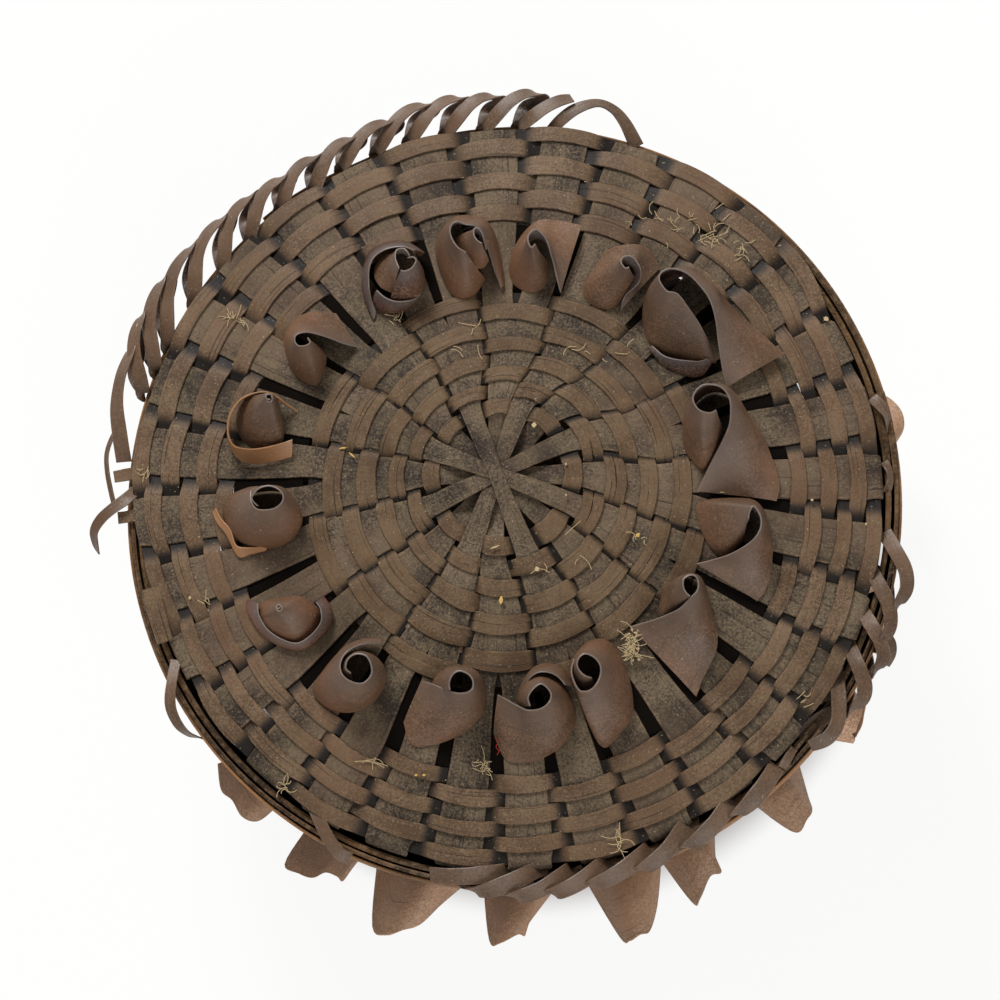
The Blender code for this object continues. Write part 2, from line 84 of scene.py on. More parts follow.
# Lid: the height of its edge, and the strips that cross at its hub, with two arms each
LID_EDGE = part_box("lid_outer_hoop")[1][2] + 2.7 * MM
LID_STRIPS = 8
LID_ARMS = 2 * LID_STRIPS
LID_TURN = math.radians(-2.8)
FORK = 46.0 * MM
WEAVE_RADIUS = 97.6 * MM
# The gap between two spokes: its width up to a radius, and its growth from there on
SPOKE_GAP = 2.4 * MM
GAP_START = 53.0 * MM
GAP_GROWTH = 0.085
# The turned-down end of a spoke: inset from the radius and drop in mm, and share of the width
FLANGE_RADIUS = 98.55 * MM
FLANGE_STEPS = ((0.3, 0.35, 0.88), (0.0, 1.1, 0.86), (0.0, 5.0, 0.80), (0.0, 9.0, 0.70))
# Height of the weave over its edge by radius, in mm
DOME = (
    (0.0, 9.0),
    (19.0, 8.7),
    (40.0, 7.9),
    (50.0, 6.7),
    (57.0, 4.9),
    (65.0, 3.9),
    (75.0, 2.8),
    (92.0, 0.6),
    (99.0, 0.0),
    (130.0, 0.0),
)
# How far the weave lies out over the hoops on the far side
FAR_SPREAD = 4.2 * MM
# The weave's rings sit off the middle of the outline: radius, then their shift along X and Y, in mm
RING_SHIFTS = (
    (0.0, -3.4, 5.2),
    (14.0, -2.4, 4.9),
    (18.4, -1.9, 4.6),
    (33.0, -0.3, 3.2),
    (50.0, -0.8, 2.2),
    (74.0, 0.0, 0.4),
    (97.0, 0.0, 0.0),
    (130.0, 0.0, 0.0),
)


def knots(table, x):
    for (x0, y0), (x1, y1) in zip(table, table[1:]):
        if x <= x1:
            t = (x - x0) / (x1 - x0)
            return y0 + (y1 - y0) * t
    return table[-1][1]


def smooth_knots(table, x, reach=2.5):
    """The knots' broken line, rounded at its corners."""
    return sum(knots(table, max(0.0, x + reach * k)) for k in (-1.0, -0.5, 0.0, 0.5, 1.0)) / 5


def lid_height(radius):
    return LID_EDGE + smooth_knots(DOME, radius / MM) * MM


def wobble(seed, x, y=0.0):
    """Smooth noise between about -1 and 1."""
    return noise.noise(Vector((seed * 7.31 + 0.5, x, y))) * 1.8


def ring_shift(radius):
    across = knots([(r, x) for r, x, _ in RING_SHIFTS], radius / MM)
    away = knots([(r, y) for r, _, y in RING_SHIFTS], radius / MM)
    return Vector((across * MM, away * MM, 0.0))


def spread(radius, angle):
    """On the far side, the rim of the weave lies out over the hoops."""
    away = smooth((math.cos(angle - FAR_SIDE) - 0.05) / 0.37)
    return FAR_SPREAD * away * smooth((radius - 72.0 * MM) / (24.0 * MM))


def lid_point(radius, angle, lift=0.0):
    """A point over the lid."""
    shift = ring_shift(radius)
    reach = radius + spread(radius, angle)
    x = reach * math.cos(angle)
    y = reach * math.sin(angle)
    return Vector((x + shift.x, y + shift.y, lid_height(radius) + lift))


def polar(radius, angle, height):
    """A point round the axis of the basket."""
    return Vector((radius * math.cos(angle), radius * math.sin(angle), height))


def smooth(t):
    t = min(1.0, max(0.0, t))
    return t * t * (3 - 2 * t)


# Camera and the rays of the photograph's pixels


def camera_axes():
    towards = Vector(
        (
            math.sin(CAMERA_AZIMUTH) * math.cos(CAMERA_ELEVATION),
            -math.cos(CAMERA_AZIMUTH) * math.cos(CAMERA_ELEVATION),
            math.sin(CAMERA_ELEVATION),
        )
    )
    up = (Vector((0.0, 1.0, 0.0)) - towards * towards.y).normalized()
    right = up.cross(towards)
    return right, up, towards


RIGHT, UP, TOWARDS = camera_axes()
CAMERA_SPOT = CAMERA_AIM + TOWARDS * CAMERA_DISTANCE
FAR_SIDE = math.atan2(-TOWARDS.y, -TOWARDS.x)


def spot(px, py, height):
    """The point at a height that the camera sees at a pixel of the photograph."""
    scale = VIEW_WIDTH / IMAGE_SIZE / CAMERA_DISTANCE
    ray = -TOWARDS + RIGHT * (px - IMAGE_SIZE / 2) * scale + UP * (IMAGE_SIZE / 2 - py) * scale
    return CAMERA_SPOT + ray * ((height - CAMERA_SPOT.z) / ray.z)


def add_camera():
    data = bpy.data.cameras.new("Camera")
    data.sensor_width = SENSOR
    data.lens = SENSOR * CAMERA_DISTANCE / VIEW_WIDTH
    data.clip_start = 0.05
    camera = bpy.data.objects.new("Camera", data)
    bpy.context.scene.collection.objects.link(camera)
    matrix = Matrix((RIGHT, UP, TOWARDS)).transposed().to_4x4()
    matrix.translation = CAMERA_SPOT
    camera.matrix_world = matrix
    bpy.context.scene.camera = camera


# Meshes: each splint is a grid of middle points, thickened, with its own finish values, some of which are
# painted shade and sheen


class Book:
    """Collects slabs into one mesh."""

    def __init__(self):
        self.points = []
        self.faces = []
        self.along = []
        self.finish = []
        self.dust_and_sheen = []

    def slab(self, grid, thick, tone=0.0, closed=False, wear_and_shade=0.0, grey=False):
        """Adds a splint. grid[i][j] are its middle points, i along it and j across it.

        tone is how light it is, and below 0 it darkens as painted shade. wear, one value or one for each i,
        shows fresh wood above 0 and painted shade below. grey makes it paler towards the last j, a painted
        sheen.
        """
        mid = np.array([[tuple(p) for p in row] for row in grid])
        count, wide = mid.shape[:2]
        if closed:
            du = np.roll(mid, -1, 0) - np.roll(mid, 1, 0)
        else:
            du = np.gradient(mid, axis=0)
        dv = np.gradient(mid, axis=1)
        normal = np.cross(du, dv)
        normal /= np.maximum(np.linalg.norm(normal, axis=2, keepdims=True), 1e-12)
        half = thick / 2
        top = mid + normal * half
        low = mid - normal * half
        step = np.linalg.norm(np.diff(mid[:, wide // 2], axis=0), axis=1)
        u = np.concatenate([[0.0], np.cumsum(step)])
        across = np.linalg.norm(np.diff(mid, axis=1), axis=2).mean(0)
        v = np.concatenate([[0.0], np.cumsum(across)])
        first = mid[:, 0] - (mid[:, 1] - mid[:, 0]) / across[0] * half * 0.8
        last = mid[:, -1] + (mid[:, -1] - mid[:, -2]) / across[-1] * half * 0.8
        ring = [top[:, j] for j in range(wide)] + [last]
        ring += [low[:, j] for j in reversed(range(wide))] + [first]
        places = list(v) + [v[-1]] + list(reversed(v)) + [0.0]
        sides = [1.0] * wide + [0.5] + [0.0] * wide + [0.5]
        rims = [0.0] * len(ring)
        for j in (0, wide - 1, wide, wide + 1, 2 * wide, 2 * wide + 1):
            rims[j] = 1.0
        dust_and_sheen = [k / (wide - 1) if grey else 0.0 for k in range(wide)]
        mouth_sheens = dust_and_sheen + [dust_and_sheen[-1]] + dust_and_sheen[::-1] + [dust_and_sheen[0]]
        size = len(ring)
        start = len(self.points)
        seed = tone * 37.0
        for i in range(count):
            for k in range(size):
                self.points.append(tuple(ring[k][i]))
                self.along.append((u[i] + seed, places[k]))
                wear_shade_value = wear_and_shade[i] if isinstance(wear_and_shade, list) else wear_and_shade
                self.finish.append((tone, rims[k], sides[k], wear_shade_value))
                self.dust_and_sheen.append(mouth_sheens[k])
        spans = count if closed else count - 1
        for i in range(spans):
            a = start + i * size
            b = start + ((i + 1) % count) * size
            for k in range(size):
                n = (k + 1) % size
                self.faces.append((a + k, a + n, b + n, b + k))
        if not closed:
            for i, flip in ((0, False), (count - 1, True)):
                base = start + i * size
                face = [base + k for k in range(size)]
                self.cap(face, wide, flip)

    def cap(self, face, wide, flip):
        """Closes an end with quads between the top and the underside."""
        size = len(face)
        quads = [(face[wide - 1], face[wide], face[wide + 1])]
        quads += [(face[size - 2], face[size - 1], face[0])]
        for j in range(wide - 1):
            quads.append((face[j], face[j + 1], face[size - 3 - j], face[size - 2 - j]))
        for quad in quads:
            self.faces.append(tuple(quad) if flip else tuple(reversed(quad)))

    def piece(self, name, material, slot, body, *nodes):
        mesh = bpy.data.meshes.new(name)
        mesh.from_pydata(self.points, [], self.faces)
        layer = mesh.uv_layers.new(name="Along")
        corners = np.empty(len(mesh.loops), dtype=np.int32)
        mesh.loops.foreach_get("vertex_index", corners)
        layer.data.foreach_set("uv", np.array(self.along, dtype=np.float32)[corners].ravel())
        colour = mesh.attributes.new("finish", "FLOAT_COLOR", "POINT")
        colour.data.foreach_set("color", np.array(self.finish, dtype=np.float32).ravel())
        dust_and_sheen = mesh.attributes.new("dust_and_sheen", "FLOAT", "POINT")
        dust_and_sheen.data.foreach_set("value", np.array(self.dust_and_sheen, dtype=np.float32))
        mesh.materials.append(material)
        mesh.shade_smooth()
        mesh.set_sharp_from_angle(angle=math.radians(38.0))
        mesh.validate()
        item = bpy.data.objects.new(name, mesh)
        bpy.context.scene.collection.objects.link(item)
        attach(item, body)
        if nodes:
            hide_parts(*nodes)


# Materials


class Tree:
    """Short calls for a material's nodes."""

    def __init__(self, name):
        self.material = bpy.data.materials.new(name)
        self.material.use_nodes = True
        self.tree = self.material.node_tree
        self.shader = self.tree.nodes["Principled BSDF"]

    def node(self, kind, **settings):
        made = self.tree.nodes.new(kind)
        for key, value in settings.items():
            setattr(made, key, value)
        return made

    def link(self, output, socket):
        self.tree.links.new(output, socket)

    def math(self, operation, a, b=None, c=None, clamp=False):
        made = self.node("ShaderNodeMath", operation=operation, use_clamp=clamp)
        for i, value in enumerate((a, b, c)):
            if value is None:
                continue
            if isinstance(value, (int, float)):
                made.inputs[i].default_value = value
            else:
                self.link(value, made.inputs[i])
        return made.outputs[0]

    def noise(self, vector, scale, detail=3.0, roughness=0.55):
        made = self.node("ShaderNodeTexNoise")
        made.inputs["Scale"].default_value = scale
        made.inputs["Detail"].default_value = detail
        made.inputs["Roughness"].default_value = roughness
        self.link(vector, made.inputs["Vector"])
        return made.outputs["Fac"]

    def stretch(self, vector, x, y):
        made = self.node("ShaderNodeVectorMath", operation="MULTIPLY")
        self.link(vector, made.inputs[0])
        made.inputs[1].default_value = (x, y, 1.0)
        return made.outputs[0]

    def ramp(self, value, low, high):
        """0 below low, 1 above high."""
        made = self.node("ShaderNodeMapRange", interpolation_type="SMOOTHSTEP")
        self.link(value, made.inputs["Value"])
        made.inputs["From Min"].default_value = low
        made.inputs["From Max"].default_value = high
        return made.outputs["Result"]

    def mix(self, amount, a, b):
        made = self.node("ShaderNodeMix", data_type="RGBA")
        self.link(amount, made.inputs[0])
        for socket, value in ((made.inputs[6], a), (made.inputs[7], b)):
            if isinstance(value, tuple):
                socket.default_value = (*value, 1.0)
            else:
                self.link(value, socket)
        return made.outputs[2]


def srgb(r, g, b):
    """A linear colour from values of 0 to 255."""
    return tuple((v / 255 / 12.92) if v <= 10 else ((v / 255 + 0.055) / 1.055) ** 2.4 for v in (r, g, b))


def splint(name, dark, light, red, dust, gloss, cracks=0.6, shine=0.22):
    """Brown ash splint.

    dark and light are the ends of its colour, red its warm blotches, dust the share of settled dust,
    gloss the roughness of its face, cracks how much its split grain shows, and shine its reflections.
    """
    t = Tree(name)
    uv = t.node("ShaderNodeUVMap", uv_map="Along").outputs["UV"]
    finish = t.node("ShaderNodeAttribute", attribute_name="finish")
    parts = t.node("ShaderNodeSeparateColor")
    t.link(finish.outputs["Color"], parts.inputs["Color"])
    tone = parts.outputs[0]
    rim = parts.outputs[1]
    side = parts.outputs[2]
    wear_and_shade = finish.outputs["Alpha"]
    place = t.node("ShaderNodeNewGeometry").outputs["Position"]

    # Noises: along the grain by the splint's own length and width, the others by the place in space
    fibre = t.noise(t.stretch(uv, 55.0, 3600.0), 1.0, 3.0, 0.6)
    strand = t.noise(t.stretch(uv, 22.0, 900.0), 1.0, 2.0, 0.5)
    blotch = t.noise(place, 120.0, 4.0, 0.6)
    cloud = t.noise(place, 28.0, 2.0, 0.5)
    grain = t.noise(place, 1500.0, 3.0, 0.85)
    stain = t.noise(place, 52.0, 3.0, 0.6)
    crack = t.ramp(t.noise(t.stretch(uv, 30.0, 2100.0), 1.0, 1.0, 0.4), 0.66, 0.73)

    streak = t.math("MULTIPLY_ADD", fibre, 0.5, t.math("MULTIPLY", strand, 0.5))
    shade = t.math("MULTIPLY_ADD", tone, 0.55, t.math("MULTIPLY_ADD", blotch, 0.6, -0.32))
    shade = t.math("MULTIPLY_ADD", grain, 4.0, t.math("SUBTRACT", shade, 2.04))
    shade = t.math("MULTIPLY_ADD", stain, 2.4, t.math("SUBTRACT", shade, 1.25))
    level = t.math("ADD", t.math("MULTIPLY_ADD", streak, 1.3, -0.40), shade, clamp=True)
    colour = t.mix(level, srgb(*dark), srgb(*light))

    # The mouths of curls are greyed by a painted sheen, palest at the lip as a painted highlight.
    # Dust lies in patches, and more of it on what faces up
    lip = t.node("ShaderNodeAttribute", attribute_name="dust_and_sheen").outputs["Fac"]
    dust_and_sheen = t.math("MULTIPLY", t.ramp(blotch, 0.42, 0.66), dust)
    grit = t.ramp(t.noise(place, 1250.0, 3.0, 0.85), 0.50, 0.64)
    settled = t.math("MULTIPLY", dust_and_sheen, t.math("MULTIPLY_ADD", grit, 1.1, 0.25), clamp=True)
    normal = t.node("ShaderNodeSeparateXYZ")
    t.link(t.node("ShaderNodeNewGeometry").outputs["Normal"], normal.inputs[0])
    flat = t.math("MULTIPLY", t.ramp(normal.outputs["Z"], 0.55, 0.97), t.ramp(blotch, 0.36, 0.66))
    flat = t.math("MULTIPLY", flat, t.math("MULTIPLY_ADD", grit, 0.8, 0.4), clamp=True)
    under = t.math("SUBTRACT", 1.0, t.ramp(side, 0.1, 0.45))
    edge = t.math("MULTIPLY", t.ramp(rim, 0.72, 1.0), t.ramp(t.noise(place, 420.0, 2.0), 0.46, 0.66))
    # Painted shade: a negative wear value darkens where a row dips under the spokes
    underpass_shade = t.ramp(t.math("MULTIPLY", wear_and_shade, -1.0), 0.1, 1.0)
    speck = t.ramp(t.noise(place, 1750.0, 1.0, 0.4), 0.725, 0.775)
    # Layers of colour, from the lowest to the uppermost
    for mask, share, tint in (
        (t.ramp(cloud, 0.42, 0.68), 0.6, red),
        (t.ramp(lip, 0.30, 1.0), 0.70, (102, 94, 92)),
        (t.ramp(lip, 0.985, 1.0), 0.6, (136, 126, 122)),
        (settled, 1.0, (136, 119, 92)),
        (flat, 0.3 + 0.4 * dust, (98, 85, 66)),
        (under, 0.45, (112, 84, 58)),
        (edge, 0.35, (140, 112, 84)),
        (wear_and_shade, 0.85, (172, 124, 82)),
        (crack, cracks, (28, 22, 17)),
        (underpass_shade, 1.0, (26, 20, 15)),
        (speck, 0.7, (166, 152, 124)),
    ):
        colour = t.mix(t.math("MULTIPLY", mask, share, clamp=True), colour, srgb(*tint))
    # A tone below 0 darkens towards near black: painted shade, used on the bands of the wall's curls
    colour = t.mix(t.ramp(tone, -0.5, 0.0), srgb(20, 16, 13), colour)
    t.link(colour, t.shader.inputs["Base Color"])

    rough = t.math("MULTIPLY_ADD", streak, 0.22, gloss - 0.11)
    rough = t.math("ADD", rough, t.math("MULTIPLY", dust_and_sheen, 0.2), clamp=True)
    t.link(rough, t.shader.inputs["Roughness"])
    t.shader.inputs["Specular IOR Level"].default_value = shine
    height = t.math("MULTIPLY_ADD", fibre, 0.55, t.math("MULTIPLY", strand, 0.55))
    height = t.math("SUBTRACT", height, t.math("MULTIPLY", crack, 1.15 * cracks))
    height = t.math("MULTIPLY_ADD", grain, 0.45, height)
    bump = t.node("ShaderNodeBump")
    bump.inputs["Strength"].default_value = 0.5
    bump.inputs["Distance"].default_value = 0.24 * MM
    t.link(height, bump.inputs["Height"])
    t.link(bump.outputs["Normal"], t.shader.inputs["Normal"])
    return t.material


def fluff(name, colour):
    """Lint, fibres and crumbs of dust, and the near black matte of painted shade."""
    t = Tree(name)
    place = t.node("ShaderNodeNewGeometry").outputs["Position"]
    patch = t.noise(place, 900.0, 2.0)
    t.link(t.mix(patch, tuple(0.7 * c for c in colour), colour), t.shader.inputs["Base Color"])
    t.shader.inputs["Roughness"].default_value = 0.9
    t.shader.inputs["Specular IOR Level"].default_value = 0.05
    return t.material


SPOKE = splint("spoke_splint", (42, 34, 27), (116, 99, 80), (100, 80, 64), 0.50, 0.68)
WEAVER = splint("weaver_splint", (36, 30, 24), (134, 114, 94), (96, 72, 56), 0.40, 0.54)
INNER = splint("centre_splint", (28, 22, 16), (110, 95, 74), (80, 64, 46), 0.46, 0.60, 0.8)
CURL = splint("curl_splint", (46, 32, 26), (140, 104, 85), (124, 80, 58), 0.16, 0.42, 0.05, 0.42)
# The wall's curls: paler than those of the lid, and brightened further as painted light where the lid shades
# them
WALL_CURL_PAINTED_LIGHT = splint(
    "wall_curl_splint_painted_light", (160, 126, 102), (238, 192, 156), (210, 158, 122), 0.25, 0.5, 0.3, 0.35
)
LASHING = splint("lashing_splint", (38, 29, 25), (110, 88, 76), (96, 70, 57), 0.16, 0.42, 0.3, 0.42)
HOOP = splint("hoop_splint", (40, 29, 21), (112, 84, 56), (130, 94, 58), 0.20, 0.55)
LINT = fluff("lint", srgb(198, 176, 136))
STRAW = fluff("straw_crumb", srgb(214, 176, 104))
RED_LINT = fluff("red_lint", srgb(176, 62, 48))
SHADED = fluff("shaded_splint", srgb(17, 13, 10))


# Weave of the lid


def spoke_gap(radius):
    return SPOKE_GAP + GAP_GROWTH * max(0.0, radius - GAP_START)


def spoke_edges(radius):
    """Half the width of an arm, and the half gap along its middle past the fork."""
    gap = spoke_gap(radius)
    waist = 1.75 * MM + 0.052 * radius
    full = math.pi * radius / LID_ARMS - gap / 2
    outer = waist if radius < 19.0 * MM else max(waist, full)
    inner = 0.0
    if radius > FORK:
        inner = gap / 2 * smooth((radius - FORK) / (9.0 * MM)) + 0.05 * MM
    return outer, inner


# Height from one strip of a hub to the next, and which strip of the lid lies at each heading
HUB_PITCH = 0.62 * MM
STRIP_LEVELS = (2, 5, 0, 4, 1, 7, 3, 6)
# How far each strip of the hub is turned from its even heading, in degrees
STRIP_SWINGS = (2.3, 5.8, 8.0, 6.0, 0.8, 1.5, 4.5, 3.5)
# From here on, the arms stand at even headings
EVEN_RADIUS = 40.0 * MM


def hub_lift(strip, radius):
    level = (strip - (LID_STRIPS - 1) / 2) * HUB_PITCH
    return level * (1.0 - smooth((radius - 11.0 * MM) / (8.0 * MM)))


def arm_angle(arm, radius):
    """The heading of an arm at a radius: a straight strip in the hub, an even spoke further out."""
    even = LID_TURN + 2 * math.pi * arm / LID_ARMS
    heading = even + math.radians(STRIP_SWINGS[arm % LID_STRIPS])
    offset = ring_shift(0.0) - ring_shift(radius)
    along = Vector((math.cos(heading), math.sin(heading), 0.0))
    half = offset.dot(along)
    reach = -half + math.sqrt(max(0.0, half * half - offset.length_squared + radius * radius))
    point = offset + along * reach
    away = math.atan2(point.y, point.x) - even
    away -= 2 * math.pi * round(away / (2 * math.pi))
    return even + away * (1.0 - smooth((radius - 16.0 * MM) / (EVEN_RADIUS - 16.0 * MM)))


def weave_angle(angle, radius):
    """The angle of the spokes' own spacing, as it lies on the lid."""
    if radius > EVEN_RADIUS:
        return angle
    pitch = 2 * math.pi / LID_ARMS
    place = (angle - LID_TURN) / pitch
    arm = math.floor(place)
    first = arm_angle(arm, radius)
    return first + (arm_angle(arm + 1, radius) - first) * (place - arm)


def strip_slab(book, strip):
    """The undivided part of one strip, from fork to fork across the hub."""
    arm = STRIP_LEVELS.index(strip)
    heading = LID_TURN + math.pi * arm / LID_STRIPS + math.radians(STRIP_SWINGS[arm])
    steps = 32
    grid = []
    for k in range(-steps, steps + 1):
        reach = (FORK + 0.1 * MM) * k / steps
        radius = abs(reach)
        outer, _ = spoke_edges(radius)
        outer *= 1.0 + 0.05 * wobble(strip + 3, reach / MM * 0.06)
        near = smooth((radius - 12.0 * MM) / (8.0 * MM))
        row = []
        for share in ACROSS:
            lateral = outer * share
            spin = complex(math.cos(heading), math.sin(heading)) * complex(reach, lateral)
            point = ring_shift(0.0) + Vector((spin.real, spin.imag, lid_height(radius)))
            if near > 0.0:
                turned = arm_angle(arm + (LID_STRIPS if reach < 0 else 0), radius) + lateral / reach
                point = point.lerp(lid_point(radius, turned), near)
            cup = -0.10 * MM * share * share
            row.append(point + Vector((0.0, 0.0, hub_lift(strip, radius) + cup)))
        grid.append(row)
    book.slab(grid, SPOKE_THICK, tone_of(strip * 2))


def tone_of(seed):
    return (math.sin(seed * 12.9898 + 4.1) * 43758.5453) % 1.0 * 0.7


def tine_slab(book, strip, sign, tine):
    """One half of a forked arm, out to the rim and down inside the hoops."""
    arm = STRIP_LEVELS.index(strip) + (0 if sign > 0 else LID_STRIPS)
    even = LID_TURN + 2 * math.pi * arm / LID_ARMS
    seed = strip * 4 + (sign > 0) * 2 + (tine > 0)
    stations = [FORK + k * 2.0 * MM for k in range(26)] + [WEAVE_RADIUS]
    grid = []
    for reach in stations:
        outer, inner = spoke_edges(reach)
        narrow = 1.0 - 0.10 * smooth((reach - 93.0 * MM) / (4.0 * MM))
        outer_half = (outer - inner) / 2 * narrow * (1.0 + 0.06 * wobble(seed + 40, reach / MM * 0.05))
        middle = (outer + inner) / 2 + 0.25 * MM * wobble(seed + 80, reach / MM * 0.04)
        row = []
        for share in ACROSS:
            lateral = tine * (middle + outer_half * share * tine)
            row.append(lid_point(reach, even + lateral / reach, -0.05 * MM * share * share))
        grid.append(row)
    outer, inner = spoke_edges(WEAVE_RADIUS)
    angle = even + tine * (outer + inner) / 2 / WEAVE_RADIUS
    if spread(WEAVE_RADIUS, angle) < 0.5 * MM:
        for inset, drop, share_left in FLANGE_STEPS:
            radius = FLANGE_RADIUS - inset * MM
            turn = (outer - inner) / 2 * share_left / radius
            grid.append([polar(radius, angle + turn * share, LID_EDGE - drop * MM) for share in ACROSS])
    book.slab(grid, SPOKE_THICK, tone_of(seed + 20))


def lid_spokes():
    for strip in range(LID_STRIPS):
        book = Book()
        strip_slab(book, strip)
        for sign in (-1, 1):
            for tine in (-1, 1):
                tine_slab(book, strip, sign, tine)
        node = f"lid_spoke_{STRIP_LEVELS.index(strip) + 1}"
        book.piece(f"{node}_splint", SPOKE, "spoke_splint", "lid", node)


def weave_side(angle, crossings, turn, phase, half):
    """+1 over the spokes and -1 under them, turning smoothly in the gaps."""
    pitch = 2 * math.pi / crossings
    place = (angle - turn) / pitch
    index = math.floor(place + 0.5)
    offset = abs(place - index) * pitch
    side = 1.0 if (index + phase) % 2 == 0 else -1.0
    edge = pitch / 2 - offset
    span = max(1e-6, pitch / 2 - half)
    return side * smooth(0.5 + 0.5 * min(1.0, edge / span)) * 2 - side if edge < span else side


def woven_row(book, radius, width, crossings, turn, phase, seed, bulge, steps):
    """One closed weaver row of the lid."""
    grid = []
    underpass_shade = []
    count = crossings * steps
    half_gap = (spoke_gap(radius) + 0.2 * MM) / 2
    half = math.pi / crossings - half_gap / radius * 1.05
    for i in range(count):
        angle = turn + 2 * math.pi * i / count
        side = weave_side(angle, crossings, turn, phase, half)
        wide = width * (1.0 + 0.10 * wobble(seed, angle * 4.0) - 0.06 * (1 - abs(side)))
        drift = 0.38 * MM * wobble(seed + 11, math.cos(angle) * 1.5, math.sin(angle) * 1.5)
        place = (angle - turn) / (2 * math.pi / crossings)
        bow = math.cos(math.pi * place) * (1.0 if phase % 2 == 0 else -1.0)
        centre = radius + drift + bulge * bow
        twist = 0.14 * MM * wobble(seed + 5, angle * 6.0)
        row = []
        for share in (-1.0, -0.62, 0.0, 0.62, 1.0):
            r = centre + wide / 2 * share
            crown = 0.06 * MM * (1.0 - share * share) * side
            row.append(lid_point(r, weave_angle(angle, r), LIFT * side + crown + twist * share))
        grid.append(row)
        # Painted shade where the row dips under the spokes, given as a negative wear value
        underpass_shade.append(-0.78 * (1.0 - side) * (0.8 + 0.4 * wobble(seed + 9, angle * 3.0)))
    book.slab(grid, WEAVER_THICK, tone_of(seed), closed=True, wear_and_shade=underpass_shade)


# Radii of the rows, in millimetres
CENTRE_ROWS = (18.6, 24.2, 28.7, 33.0, 37.5, 42.1, 46.7, 51.4)
OUTER_ROWS = (76.4, 80.3, 84.2, 88.1, 92.0, 95.9)


def lid_rows():
    for i, radius in enumerate(CENTRE_ROWS):
        node = f"lid_centre_row_{i + 1}"
        book = Book()
        # Every third row is one splint, and the others are two side by side
        strands = 2 if i % 3 else 1
        width = (4.2 if i < 4 else 4.45) * MM / strands
        for k in range(strands):
            middle = radius * MM + (k - (strands - 1) / 2) * width
            seed = 100 + i * 5 + k
            woven_row(book, middle, width * 1.04, LID_ARMS, LID_TURN, i, seed, 0.35 * MM, 14)
        book.piece(f"{node}_splint", INNER, "weaver_splint", "lid", node)
    turn = LID_TURN + math.pi / (2 * LID_ARMS)
    for i, radius in enumerate(OUTER_ROWS):
        node = f"lid_outer_row_{i + 1}"
        book = Book()
        woven_row(book, radius * MM, 3.95 * MM, 2 * LID_ARMS, turn, i, 200 + i, 0.55 * MM, 10)
        book.piece(f"{node}_splint", WEAVER, "weaver_splint", "lid", node)


# Curls of the lid


